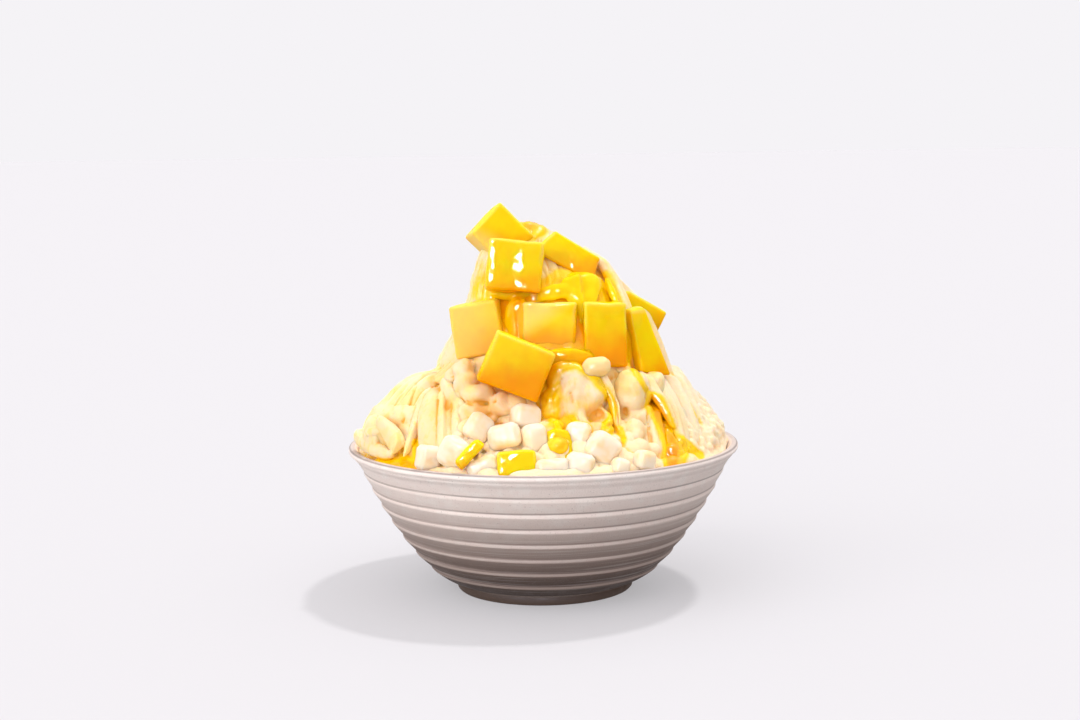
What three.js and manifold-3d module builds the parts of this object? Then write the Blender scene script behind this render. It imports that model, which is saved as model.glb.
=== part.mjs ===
// Mango shaved ice served in a ribbed bowl. Millimetres, +Z up, the front of the serving faces -Y.
// The origin is the centre of the bowl's foot, on the table. The bowl is turned round the Z axis, the ice is one
// mound of fused folds that fills it, and each piece of fruit or jelly sits in a seat of its own in the ice.

import * as THREE from "three";
import { ConvexGeometry } from "three/addons/geometries/ConvexGeometry.js";
import { mergeVertices } from "three/addons/utils/BufferGeometryUtils.js";
import Module from "manifold-3d";

const wasm = await Module();
wasm.setup();

// Bowl
const BOWL_HEIGHT = 68;
const RIM_RADIUS = 90;
const WALL = 3.4;
const LIP = 2.6;
const FOOT_RADIUS = 40;
const FOOT_HEIGHT = 4.7;
const FOOT_RING_INSIDE = 35;
const FOOT_RECESS = 1.2;
const WAIST_RADIUS = 41.5;
const WALL_CURVE = 0.64;
const RIB_COUNT = 8;
const RIB_PITCH = 7.5;
const RIB_LEDGE = 1.6;
const RIB_DEPTH = 1.2;
const RIB_BELLY = 0.35;
const INSIDE_FLOOR = 9;
const INSIDE_STEPS = 4;
const BOWL_SEGMENTS = 52;

// Clearance that neighbouring solids keep, and that a seat in the ice keeps to its piece
const GAP = 0.3;
const SEAT_MARGIN = 0.38;

// Mound of ice: [height, centre x, half width, reach to the front, reach to the back]
const MOUND_LEVELS = [
  [56, 0, 94, 94, 94],
  [62, 0, 89, 86, 89],
  [68, 0, 83.5, 77, 83],
  [74, 0.5, 80, 70, 78],
  [81, 0, 75, 62, 73],
  [88, -1, 67, 55, 65],
  [96, 0, 56.5, 51, 56],
  [104, 2.5, 50, 48, 50],
  [114, 4, 45.5, 44, 46],
  [126, 5.5, 40.5, 39, 41],
  [138, 3.5, 34, 32.5, 35],
  [148, -0.7, 28, 24.5, 29],
  [158, -5, 19.5, 15.5, 20],
  [165, -6, 11, 10.5, 11],
  [169, -6, 5, 5, 5],
];
const MOUND_BEARINGS = 40;
const MOUND_RINGS = 15;
const CRAG_RELIEF = 1.4;

// Folded ribbons of ice: [bearing and height of the upper end, bearing and height of the foot, width, thickness]
const FOLDS = [
  [187, 101, 192, 70, 21, 8],
  [205, 103, 209, 70, 15, 7],
  [214, 100, 220, 71, 7, 9],
  [224, 101, 232, 68, 14, 8],
  [231, 106, 240, 74, 10, 7],
  [240, 108, 246, 82, 11, 8],
  [249, 104, 254, 86, 11, 8],
  [307, 105, 303, 84, 11, 7],
  [313, 104, 311, 70, 11, 7],
  [323, 102, 320, 69, 10, 7],
  [332, 104, 330, 69, 11, 6],
  [342, 106, 341, 70, 12, 6],
  [354, 104, 354, 70, 13, 6],
  [204, 156, 209, 126, 13, 6],
  [322, 148, 338, 112, 9, 6],
];
const FIRST_BACK_FOLD = 8;
const LAST_BACK_FOLD = 172;
const BACK_FOLDS = 10;
const FOLD_SIDES = 6;
const FOLD_STEPS = 6;

// Rounded lumps of ice: [x, y, z, half width, half depth, half height]
const LUMPS = [
  [14, -45, 95, 15, 14, 15],
  [39, -40, 95, 9.5, 11, 12],
  [-37, -41, 98, 9, 9, 8],
  [-26, -49, 88, 9, 7, 8],
  [-4, -4, 164, 8, 7, 6],
  [52, -38, 84, 9, 9, 10],
  [-71, -34, 72, 5.5, 5.5, 5.5],
  [20, 44, 96, 14, 13, 13],
  [-26, 46, 92, 12, 12, 11],
];
const LUMP_SLICES = 10;
const LUMP_STACKS = 7;

// Piped curl at the left rim
const CURL_CENTRE = [-70, -33, 72];
const CURL_RADIUS = 5;
const CURL_THICKNESS = 8.4;
const CURL_TURNS = 1.3;
const CURL_STEPS = 12;
const CURL_RISE = 8;

// Blocks of fruit and jelly: x, y, z of the centre, width, depth, height, then turn about Z, tilt of the front
// face upwards and roll clockwise as seen from the front, in degrees
const MANGO_CUBES = [
  { at: [-18.8, -5.6, 163.2], size: [21.5, 17, 19.5], pose: [12, 10, 46], taper: 1.04 },
  { at: [-11.8, -30.6, 151], size: [23.4, 15, 21], pose: [2, 9, 5], taper: 0.96 },
  { at: [12.6, -15.4, 154], size: [27, 13.5, 12.5], pose: [8, 12, 33], taper: 0.9 },
  { at: [42.5, 0, 124.5], size: [21, 18, 18], pose: [12, 4, 30], taper: 1 },
  { at: [-27.6, -26, 123.5], size: [23, 18, 23.5], pose: [-9, 0, -9], taper: 0.95 },
  { at: [4.2, -34, 124], size: [23.5, 16, 21], pose: [-5, 6, 1], taper: 0.97 },
  { at: [27.2, -33.4, 120.4], size: [19.6, 17, 28], pose: [7, 4, 1], taper: 0.93 },
  { at: [44.6, -26, 118], size: [14, 14, 26], pose: [22, 2, -14], taper: 0.5, slant: 7 },
  { at: [-11.3, -53.4, 109.8], size: [27.5, 18, 22.6], pose: [2, 3, 22.5], taper: 0.97 },
  { at: [-16, 26, 129], size: [23, 20, 21], pose: [35, -8, 12], taper: 0.95 },
  { at: [12, 30.5, 140], size: [21, 18, 20], pose: [-10, -14, -18], taper: 1.03 },
  { at: [30, 31, 118], size: [25, 20, 20], pose: [-40, -12, 8], taper: 0.92 },
  { at: [-6, 46, 108], size: [21, 19, 25], pose: [12, -18, 28], taper: 0.97 },
  { at: [-8, 17, 156], size: [20, 16, 15], pose: [24, -16, -12], taper: 0.94 },
];
const MANGO_BITS = [
  { at: [-31, -78, 75.9], size: [14, 5.6, 4.6], pose: [0, 8, -46], taper: 0.9 },
  { at: [-11.6, -77.2, 71.3], size: [15.6, 8.5, 10], pose: [3, 10, -2], taper: 0.95 },
  { at: [18, 70.6, 79], size: [13, 9, 9], pose: [16, -8, 22], taper: 0.95 },
];
const JELLY_CUBES = [
  { at: [-49.2, -66, 72.2], size: [8.4, 8, 9], pose: [20, 6, 12] },
  { at: [-38, -69.4, 75.2], size: [10.5, 9, 11], pose: [-8, 8, 24] },
  { at: [-27.6, -63, 84.6], size: [9.6, 9, 9.6], pose: [14, 10, 38] },
  { at: [-25.6, -75.6, 69.9], size: [11.4, 7.4, 6.4], pose: [0, 12, -22] },
  { at: [-16.4, -66.4, 81.2], size: [12, 9, 9], pose: [-10, 8, -14] },
  { at: [-20.5, -66.4, 71.6], size: [7, 7, 7], pose: [8, 0, 6] },
  { at: [-7.6, -59, 88.2], size: [10.5, 9, 9], pose: [16, 12, 10] },
  { at: [-4, -67.6, 80.2], size: [8.6, 8, 10], pose: [24, 8, -6] },
  { at: [14.8, -64.8, 80.6], size: [8.4, 8, 10], pose: [-12, 10, 8] },
  { at: [24.8, -70.6, 76], size: [11.6, 10, 11], pose: [10, 10, 38] },
  { at: [15.4, -77, 70.4], size: [10, 8, 8], pose: [-6, 8, 9] },
  { at: [3.5, -78.2, 69.6], size: [12, 8, 6], pose: [4, 10, -3] },
  { at: [32.2, -76.6, 69.4], size: [6, 6, 5.6], pose: [20, 6, 20] },
  { at: [42.6, -71.6, 71], size: [7.4, 7, 7], pose: [30, 4, 14] },
  { at: [23.4, -49.6, 108.4], size: [12, 8, 8], pose: [4, 10, -4] },
  { at: [-30, 69, 78], size: [11, 10, 10], pose: [30, -10, 14] },
  { at: [-18, 74, 74], size: [10, 9, 11], pose: [12, -6, -20] },
  { at: [-8, 68, 82], size: [12, 10, 9], pose: [-8, -12, 30] },
  { at: [4, 75, 74], size: [10.5, 10, 10], pose: [22, -8, 9] },
  { at: [33, 68, 76], size: [10, 10, 11], pose: [-26, -8, 32] },
  { at: [44.6, 61, 76], size: [9, 10, 9], pose: [-38, -4, 10] },
];
const MANGO_CHAMFER = 1.6;
const JELLY_CHAMFER = 1.5;
const UNEVENNESS = 0.035;

// Mango pearls: x, y, z, radius
const PEARLS = [
  [6, -70.4, 77.4, 4.7],
  [-42, 64.5, 76, 4.6],
];
const PEARL_DETAIL = 1;
const PEARL_SEAT = 1.26;

// A fixed number from 0 to 1 for each whole number, which stands in for chance.
function chance(index) {
  const spread = Math.sin(index * 12.9898) * 43758.5453;
  return spread - Math.floor(spread);
}

// The material that a sub-part carries.
function finish(color, roughness) {
  return new THREE.MeshStandardMaterial({ color, roughness, metalness: 0 });
}

// A closed geometry as a manifold-3d solid.
function solidOf(geometry) {
  const bare = geometry.clone();
  bare.deleteAttribute("normal");
  bare.deleteAttribute("uv");
  const merged = mergeVertices(bare, 1e-4);
  const index = Array.from(merged.index.array);
  const corners = [];
  for (let i = 0; i < index.length; i += 3) {
    const [a, b, c] = index.slice(i, i + 3);
    if (a !== b && b !== c && c !== a) corners.push(a, b, c);
  }
  const mesh = new wasm.Mesh({
    numProp: 3,
    vertProperties: merged.attributes.position.array,
    triVerts: new Uint32Array(corners),
  });
  return new wasm.Manifold(mesh);
}

// A manifold-3d solid as a geometry.
function geometryOf(solid) {
  const mesh = solid.getMesh();
  const geometry = new THREE.BufferGeometry();
  geometry.setAttribute("position", new THREE.BufferAttribute(mesh.vertProperties, 3));
  geometry.setIndex(new THREE.BufferAttribute(mesh.triVerts, 1));
  return geometry;
}

// The largest body of a solid, without the scraps that a cut leaves beside it.
function largestBody(solid) {
  const bodies = solid.decompose();
  return bodies.reduce((best, body) => (body.volume() > best.volume() ? body : best));
}

// A closed surface of rings: place(turn, step) gives a point for turn 0 to 1 round and step 0 to 1 along it,
// and each end closes on one point.
function closedRings(around, along, place) {
  const points = [place(0, 0)];
  for (let ring = 1; ring < along; ring++) {
    for (let side = 0; side < around; side++) points.push(place(side / around, ring / along));
  }
  points.push(place(0, 1));
  const last = points.length - 1;
  const at = (ring, side) => 1 + (ring - 1) * around + (side % around);
  const faces = [];
  for (let side = 0; side < around; side++) {
    faces.push(0, at(1, side + 1), at(1, side));
    for (let ring = 1; ring < along - 1; ring++) {
      const [a, b] = [at(ring, side), at(ring, side + 1)];
      const [c, d] = [at(ring + 1, side + 1), at(ring + 1, side)];
      faces.push(a, b, c, a, c, d);
    }
    faces.push(last, at(along - 1, side), at(along - 1, side + 1));
  }
  const geometry = new THREE.BufferGeometry().setFromPoints(points);
  geometry.setIndex(faces);
  return geometry;
}

// A profile of [radius, height] points, from the axis and back to it, turned round the Z axis.
function turned(profile) {
  const points = profile.map(([radius, height]) => new THREE.Vector2(radius, height));
  return new THREE.LatheGeometry(points, BOWL_SEGMENTS).rotateX(Math.PI / 2);
}

// The bowl's radius at the bottom of its grooves.
function wallRadius(height) {
  const climb = Math.max(0, height - FOOT_HEIGHT) / (BOWL_HEIGHT - FOOT_HEIGHT);
  return WAIST_RADIUS + (RIM_RADIUS - RIB_DEPTH - WAIST_RADIUS) * climb ** WALL_CURVE;
}

// One rib: its wall leans out from the groove below to the crest, and a narrow ledge goes back to the next groove.
function ribProfile(bottom) {
  const top = bottom + RIB_PITCH;
  const crest = top - RIB_LEDGE;
  const middle = (bottom + crest) / 2;
  const crestRadius = wallRadius(crest) + RIB_DEPTH;
  const middleRadius = (wallRadius(bottom) + crestRadius) / 2 + RIB_BELLY;
  return [
    [wallRadius(bottom), bottom],
    [middleRadius, middle],
    [crestRadius, crest],
  ];
}

// The outside of the bowl from the centre of its foot up to the lip.
function outsideProfile() {
  const profile = [
    [0, FOOT_RECESS],
    [FOOT_RING_INSIDE, FOOT_RECESS],
    [FOOT_RING_INSIDE + 1, 0],
    [FOOT_RADIUS, 0],
    [FOOT_RADIUS + 0.8, 0.8],
    [FOOT_RADIUS + 1.3, FOOT_HEIGHT - 0.7],
    [FOOT_RADIUS + 0.4, FOOT_HEIGHT - 0.1],
  ];
  for (let rib = 0; rib < RIB_COUNT; rib++) profile.push(...ribProfile(FOOT_HEIGHT + rib * RIB_PITCH));
  profile.push([wallRadius(BOWL_HEIGHT - 3.3), BOWL_HEIGHT - 3.3]);
  profile.push([RIM_RADIUS - 0.1, BOWL_HEIGHT - 2.6]);
  profile.push([RIM_RADIUS, BOWL_HEIGHT - 1]);
  profile.push([RIM_RADIUS - 0.8, BOWL_HEIGHT - 0.1]);
  return profile;
}

// The hollow of the bowl from the lip down to the centre of its floor, drawn in by a clearance.
function insideProfile(clearance) {
  const profile = [];
  const top = BOWL_HEIGHT - 1;
  for (let step = 0; step <= INSIDE_STEPS; step++) {
    const height = THREE.MathUtils.lerp(top, INSIDE_FLOOR + 3, step / INSIDE_STEPS);
    profile.push([wallRadius(height) - WALL + RIB_DEPTH - clearance, height]);
  }
  const corner = wallRadius(INSIDE_FLOOR + 1) - WALL - 3;
  profile.push([corner - clearance, INSIDE_FLOOR + 0.8 + clearance]);
  profile.push([corner - 6 - clearance, INSIDE_FLOOR + clearance]);
  profile.push([0, INSIDE_FLOOR + clearance]);
  return profile;
}

// The bowl as one turned solid.
function bowlGeometry() {
  const lip = [RIM_RADIUS - LIP, BOWL_HEIGHT];
  return turned([...outsideProfile(), lip, ...insideProfile(0)]);
}

// The space that the ice may take: the bowl's hollow, and everything above a line just over the rim.
function freeSpace() {
  const hollow = insideProfile(GAP).reverse();
  const over = BOWL_HEIGHT + GAP;
  const reach = 2 * RIM_RADIUS;
  const mouth = hollow[hollow.length - 1][0];
  return turned([...hollow, [mouth, over], [reach, over], [reach, reach + RIM_RADIUS], [0, reach + RIM_RADIUS]]);
}

// One column of the mound's levels at a height, along a smooth curve through the rows.
function moundValue(column, height) {
  const rows = MOUND_LEVELS;
  const top = rows.length - 1;
  let row = 0;
  while (row < top - 1 && height > rows[row + 1][0]) row++;
  const slope = (i) => {
    const [below, above] = [rows[Math.max(0, i - 1)], rows[Math.min(top, i + 1)]];
    return (above[column] - below[column]) / (above[0] - below[0]);
  };
  const [low, high] = [rows[row], rows[row + 1]];
  const span = high[0] - low[0];
  const t = THREE.MathUtils.clamp((height - low[0]) / span, 0, 1);
  const rise = t * t * (3 - 2 * t);
  const start = t * (1 - t) * (1 - t) * span * slope(row);
  const end = t * t * (1 - t) * span * slope(row + 1);
  return low[column] * (1 - rise) + high[column] * rise + start - end;
}

// The point of the mound's smooth surface at a bearing in degrees from +X, anticlockwise, and a height.
function onMound(bearing, height, relief = 0) {
  const angle = THREE.MathUtils.degToRad(bearing);
  const side = Math.sin(angle) < 0 ? 3 : 4;
  const x = moundValue(1, height) + (moundValue(2, height) + relief) * Math.cos(angle);
  const y = (moundValue(side, height) + relief) * Math.sin(angle);
  return new THREE.Vector3(x, y, height);
}

// The outward direction of the mound's surface at a bearing and a height.
function moundNormal(bearing, height) {
  const round = onMound(bearing + 2, height).sub(onMound(bearing - 2, height));
  const up = onMound(bearing, height + 1).sub(onMound(bearing, height - 1));
  return round.cross(up).normalize();
}

// Shallow crags: three waves that wander round and up the mound.
function crag(bearing, height) {
  const angle = THREE.MathUtils.degToRad(bearing);
  const broad = Math.sin(5 * angle + height * 0.11);
  const middling = Math.sin(11 * angle - height * 0.19 + 1.3);
  const fine = Math.sin(19 * angle + height * 0.31 + 4.1);
  return CRAG_RELIEF * (0.5 * broad + 0.3 * middling + 0.35 * fine);
}

// The mound itself, from the floor of the bowl to its peak.
function moundCore() {
  const lowest = MOUND_LEVELS[0][0];
  const [peakHeight, peakX] = MOUND_LEVELS[MOUND_LEVELS.length - 1];
  return closedRings(MOUND_BEARINGS, MOUND_RINGS, (turn, step) => {
    if (step === 0) return new THREE.Vector3(0, 0, INSIDE_FLOOR - 2);
    if (step === 1) return new THREE.Vector3(peakX, 0, peakHeight + 1);
    const firstStep = 1 / MOUND_RINGS;
    if (step <= firstStep) {
      const angle = 2 * Math.PI * turn;
      return new THREE.Vector3(Math.cos(angle), Math.sin(angle), 0).multiplyScalar(RIM_RADIUS + 4)
        .setZ(INSIDE_FLOOR - 2);
    }
    const climb = (step - 2 * firstStep) / (1 - 3 * firstStep);
    const height = THREE.MathUtils.lerp(lowest, peakHeight, climb);
    const bearing = 360 * turn;
    return onMound(bearing, height, crag(bearing, height));
  });
}

// One folded ribbon, which lies on the mound from its upper end to its foot with a flat oval section.
function foldGeometry([topBearing, topHeight, footBearing, footHeight, width, thickness]) {
  return closedRings(FOLD_SIDES, FOLD_STEPS, (turn, step) => {
    const bearing = THREE.MathUtils.lerp(topBearing, footBearing, step);
    const height = THREE.MathUtils.lerp(topHeight, footHeight, step);
    const outward = moundNormal(bearing, height);
    const down = onMound(bearing, height - 1).sub(onMound(bearing, height + 1)).normalize();
    const across = new THREE.Vector3().crossVectors(outward, down);
    const fullness = Math.sqrt(Math.max(0, 1 - (2 * step - 1) ** 6));
    const angle = 2 * Math.PI * turn;
    return onMound(bearing, height)
      .addScaledVector(outward, (thickness / 2) * fullness * Math.sin(angle) + thickness * 0.08)
      .addScaledVector(across, (width / 2) * fullness * Math.cos(angle));
  });
}

// The ribbons round the sides and back: every third one starts high on the mound, and chance varies them all.
function backFolds() {
  const rows = [];
  for (let fold = 0; fold < BACK_FOLDS; fold++) {
    const share = fold / (BACK_FOLDS - 1);
    const high = fold % 3 === 1;
    const bearing = THREE.MathUtils.lerp(FIRST_BACK_FOLD, LAST_BACK_FOLD, share) + 5 * chance(fold);
    const top = (high ? 136 : 97) + 12 * chance(fold + 40);
    const foot = high ? 84 : 70;
    const lean = 26 * (chance(fold + 80) - 0.5);
    rows.push([bearing, top, bearing + lean, foot, 10 + 8 * chance(fold + 120), 6 + 2 * chance(fold + 160)]);
  }
  return rows;
}

// One rounded lump.
function lumpGeometry([x, y, z, halfWidth, halfDepth, halfHeight]) {
  return closedRings(LUMP_SLICES, LUMP_STACKS, (turn, step) => {
    const [angle, fall] = [2 * Math.PI * turn, Math.PI * step];
    return new THREE.Vector3(
      x + halfWidth * Math.sin(fall) * Math.cos(angle),
      y + halfDepth * Math.sin(fall) * Math.sin(angle),
      z - halfHeight * Math.cos(fall),
    );
  });
}

// The piped curl: a thick strand that winds once round on the rim and closes over itself.
function curlGeometry() {
  const centre = new THREE.Vector3(...CURL_CENTRE);
  const outward = new THREE.Vector3(centre.x, centre.y, 0).normalize();
  const across = new THREE.Vector3(-outward.y, outward.x, 0);
  const up = new THREE.Vector3(0, 0, 1);
  return closedRings(FOLD_SIDES, CURL_STEPS, (turn, step) => {
    const wind = 2 * Math.PI * CURL_TURNS * step + Math.PI;
    const closing = CURL_RADIUS * (1 - 0.5 * step);
    const spoke = across.clone().multiplyScalar(Math.cos(wind)).addScaledVector(up, Math.sin(wind));
    const fullness = Math.sqrt(Math.max(0, 1 - (2 * step - 1) ** 8)) * (1 - 0.25 * step);
    const angle = 2 * Math.PI * turn;
    const half = (CURL_THICKNESS / 2) * fullness;
    return centre.clone()
      .addScaledVector(spoke, closing + half * Math.cos(angle))
      .addScaledVector(outward, (CURL_RISE / 2) * step - half * Math.sin(angle));
  });
}

// Orients a block: roll first, then tilt, then turn.
function blockPlace({ at, pose }) {
  const [turn, tilt, roll] = pose.map(THREE.MathUtils.degToRad);
  const euler = new THREE.Euler(-tilt, roll, turn, "ZXY");
  const matrix = new THREE.Matrix4().makeRotationFromEuler(euler);
  return matrix.setPosition(new THREE.Vector3(...at));
}

// The eight corners of a hand-cut block, numbered by the bits x, y and z: each strays a little, the top is tapered,
// and a slant lets the right edge hang lower. The margin moves every corner outwards.
function blockCorners({ size, taper = 0.97, slant = 0 }, seed, margin = 0) {
  const [halfWidth, halfDepth, halfHeight] = size.map((side) => side / 2);
  const corners = [];
  for (let corner = 0; corner < 8; corner++) {
    const signs = [corner & 1 ? 1 : -1, corner & 2 ? 1 : -1, corner & 4 ? 1 : -1];
    const stray = signs.map((_, axis) => 1 + UNEVENNESS * (2 * chance(seed * 31 + corner * 3 + axis) - 1));
    const narrow = signs[2] > 0 ? taper : 1;
    const drop = signs[0] > 0 && signs[2] < 0 ? slant : 0;
    const x = halfWidth * narrow * stray[0] + margin;
    const y = halfDepth * narrow * stray[1] + margin;
    const z = halfHeight * stray[2] + drop + margin;
    corners.push(new THREE.Vector3(signs[0] * x, signs[1] * y, signs[2] * z));
  }
  return corners;
}

// The block with chamfered edges: near each corner stands one point in each of its three faces.
function chamferedBlock(corners, chamfer) {
  const points = [];
  corners.forEach((corner, index) => {
    const along = [1, 2, 4].map((bit) => corners[index ^ bit].clone().sub(corner).setLength(chamfer));
    for (let face = 0; face < 3; face++) {
      points.push(corner.clone().add(along[(face + 1) % 3]).add(along[(face + 2) % 3]));
    }
  });
  return new ConvexGeometry(points);
}

// A block of fruit or jelly, and the larger sharp block that cuts its seat in the ice.
function blockPiece(name, spec, chamfer, seed, material) {
  const place = blockPlace(spec);
  const geometry = chamferedBlock(blockCorners(spec, seed), chamfer);
  const seat = new ConvexGeometry(blockCorners(spec, seed, SEAT_MARGIN));
  return { name, geometry, seat, place, material };
}

// A pearl, and the larger plain body that cuts its seat.
function pearlPiece(name, [x, y, z, radius], material) {
  const place = new THREE.Matrix4().setPosition(x, y, z);
  const geometry = new THREE.IcosahedronGeometry(radius, PEARL_DETAIL);
  const seat = new THREE.IcosahedronGeometry(PEARL_SEAT * (radius + SEAT_MARGIN), 0);
  return { name, geometry, seat, place, material };
}

// Every piece of fruit and jelly, in the order of the lists above.
function toppings() {
  const mango = finish(0xffc21e, 0.32);
  const jelly = finish(0xfaf4e8, 0.28);
  const pearl = finish(0xffc83a, 0.15);
  const number = (index) => String(index + 1).padStart(2, "0");
  return [
    ...MANGO_CUBES.map((spec, i) => blockPiece("mango_cube_" + number(i), spec, MANGO_CHAMFER, i, mango)),
    ...MANGO_BITS.map((spec, i) => blockPiece("mango_bit_" + number(i), spec, 1, i + 30, mango)),
    ...JELLY_CUBES.map((spec, i) => blockPiece("coconut_jelly_" + number(i), spec, JELLY_CHAMFER, i + 60, jelly)),
    ...PEARLS.map((spec, i) => pearlPiece("mango_pearl_" + number(i), spec, pearl)),
  ];
}

// The ice: mound, ribbons, lumps and curl in one body, cut to the bowl and round each topping.
function iceGeometry(pieces) {
  const shapes = [
    ...[...FOLDS, ...backFolds()].map(foldGeometry),
    ...LUMPS.map(lumpGeometry),
    curlGeometry(),
  ];
  let ice = solidOf(moundCore());
  for (const shape of shapes) ice = ice.add(solidOf(shape));
  ice = ice.intersect(solidOf(freeSpace()));
  for (const { seat, place } of pieces) ice = ice.subtract(solidOf(seat.clone().applyMatrix4(place)));
  return geometryOf(largestBody(ice));
}

// A named mesh.
function namedMesh(name, geometry, material) {
  const mesh = new THREE.Mesh(geometry, material);
  mesh.name = name;
  return mesh;
}

// The whole serving.
function shavedIceDessert() {
  const group = new THREE.Group();
  group.add(namedMesh("bowl", bowlGeometry(), finish(0xc9bfbd, 0.75)));
  const pieces = toppings();
  group.add(namedMesh("shaved_ice", iceGeometry(pieces), finish(0xffefc4, 0.55)));
  for (const { name, geometry, place, material } of pieces) {
    const mesh = namedMesh(name, geometry, material);
    mesh.applyMatrix4(place);
    group.add(mesh);
  }
  return group;
}

export default shavedIceDessert();
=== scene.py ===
"""Mango shaved ice in a ribbed bowl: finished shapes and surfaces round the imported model.

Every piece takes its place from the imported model. Fields of the classes are millimetres and degrees, and
meshes are metres. The front of the serving faces -Y. A bearing is the angle from +X, anticlockwise, seen
from above.
"""

import itertools
import logging
import math
from dataclasses import dataclass, field
from enum import Enum

import bpy
import numpy as np
from mathutils import Matrix, Vector


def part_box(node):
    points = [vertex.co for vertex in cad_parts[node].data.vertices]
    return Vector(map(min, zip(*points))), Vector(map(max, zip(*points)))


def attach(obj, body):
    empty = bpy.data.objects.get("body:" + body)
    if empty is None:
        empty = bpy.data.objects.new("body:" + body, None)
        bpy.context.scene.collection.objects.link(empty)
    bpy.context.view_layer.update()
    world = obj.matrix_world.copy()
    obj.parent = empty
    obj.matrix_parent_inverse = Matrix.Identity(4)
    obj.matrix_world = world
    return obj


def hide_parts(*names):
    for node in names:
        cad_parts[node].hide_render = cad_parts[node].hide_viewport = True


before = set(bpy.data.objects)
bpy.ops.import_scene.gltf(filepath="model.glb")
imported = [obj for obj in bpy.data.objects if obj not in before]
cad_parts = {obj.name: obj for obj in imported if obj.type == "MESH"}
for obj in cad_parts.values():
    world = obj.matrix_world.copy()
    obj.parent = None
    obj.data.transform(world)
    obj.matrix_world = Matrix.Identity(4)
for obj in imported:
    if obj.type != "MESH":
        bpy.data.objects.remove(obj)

MM = 0.001
BODY = "root"
# how much an offset along X, Y and Z counts where a mark fades with distance
DEPTH_COUNTS = (1.0, 0.4, 1.0)
# odd multipliers that mix a cell's three numbers, the seed and the part of the vector, and a 32-bit word
MIX_X, MIX_Y, MIX_Z, MIX_SEED, MIX_PART = 374761393, 668265263, 1103515245, 1274126177, 362437
WORD = 0xFFFFFFFF
# a soak may reach 2, so half of it is painted
SOAK_STORED = 0.5
Array = np.ndarray
Triple = tuple[float, float, float]
Colour = Triple
Rows = tuple[tuple[float, ...], ...]
Output = bpy.types.NodeSocket
# what an input takes: a link from another node, a colour or vector, or a number
Feed = Output | Triple | float
log = logging.getLogger("shaved_ice")


class Slot(Enum):
    """The record's material slots."""

    BOWL = "bowl"
    ICE = "snow_ice"
    MANGO = "mango"
    JELLY = "jelly"
    PEARL = "pearl"


# ---- numbers


def ease(low: float, high: float, value: Array) -> Array:
    """A smooth step: 0 below low, 1 above high, and a cubic S between them.

    Args:
        low: where the step starts.
        high: where it ends.
        value: the numbers to map.

    Returns:
        Numbers from 0 to 1.
    """
    share = np.clip((value - low) / (high - low), 0.0, 1.0)
    return share * share * (3.0 - 2.0 * share)


def chance(index: float) -> float:
    """A fixed number from 0 to 1 for each index: the fraction of a large multiple of its sine."""
    spread = math.sin(index * 12.9898) * 43758.5453
    return spread - math.floor(spread)


def lattice_vectors(cells: Array, seed: int) -> Array:
    """A fixed vector for each whole-number cell, by mixing the bits of its three numbers.

    Args:
        cells: whole-number cells, n by 3.
        seed: picks another set of vectors.

    Returns:
        Vectors with each part from -1 to 1, n by 3.
    """
    mixed = cells @ np.array([MIX_X, MIX_Y, MIX_Z]) + seed * MIX_SEED
    parts = []
    for part in range(3):
        bits = (mixed + part * MIX_PART) & WORD
        bits = ((bits ^ (bits >> 13)) * MIX_SEED) & WORD
        bits = ((bits ^ (bits >> 16)) * MIX_Y) & WORD
        parts.append((bits >> 8 & 0xFFFF) / 32767.5 - 1.0)
    return np.stack(parts, axis=-1)


def noise(points: Array, size: float, seed: int = 0) -> Array:
    """Gradient noise of cubic cells.

    At each corner of a cell a fixed vector is dotted with the offset, and the eight results are blended.

    Args:
        points: places, n by 3.
        size: length of a cell.
        seed: picks another field.

    Returns:
        Numbers round 0, mostly within 0.7 of it.
    """
    cells = points / size
    base = np.floor(cells).astype(np.int64)
    offset = cells - base
    fade = offset**3 * (offset * (offset * 6.0 - 15.0) + 10.0)
    total = np.zeros(len(points))
    for corner in itertools.product((0, 1), repeat=3):
        step = np.array(corner)
        weight = np.prod(np.where(step, fade, 1.0 - fade), axis=1)
        total += weight * np.sum(lattice_vectors(base + step, seed) * (offset - step), axis=1)
    return total


def rough(points: Array, size: float, octaves: int, seed: int = 0) -> Array:
    """Sum of noise at halving sizes, each half as strong as the one before."""
    return sum(noise(points, size / 2**level, seed + level) / 2**level for level in range(octaves))


def window(low: float, full: float, fading: float, gone: float, value: Array) -> Array:
    """A smooth plateau: it rises from 0 at low to 1 at full, and falls from fading to 0 at gone.

    Args:
        low: where it starts to rise.
        full: where it has risen.
        fading: where it starts to fall.
        gone: where it has fallen.
        value: the numbers to map.

    Returns:
        Numbers from 0 to 1.
    """
    return ease(low, full, value) * (1.0 - ease(fading, gone, value))


def even_turns(count: int) -> Array:
    """Angles at even steps once round, in radians."""
    return 2.0 * np.pi * np.arange(count) / count


def bearings(points: Array) -> Array:
    """The bearing of each point, from -180 to 180 degrees."""
    return np.degrees(np.arctan2(points[:, 1], points[:, 0]))


def unit(vectors: Array) -> Array:
    """The vectors at length 1."""
    return vectors / np.maximum(np.linalg.norm(vectors, axis=-1, keepdims=True), 1e-12)


# ---- meshes


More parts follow.
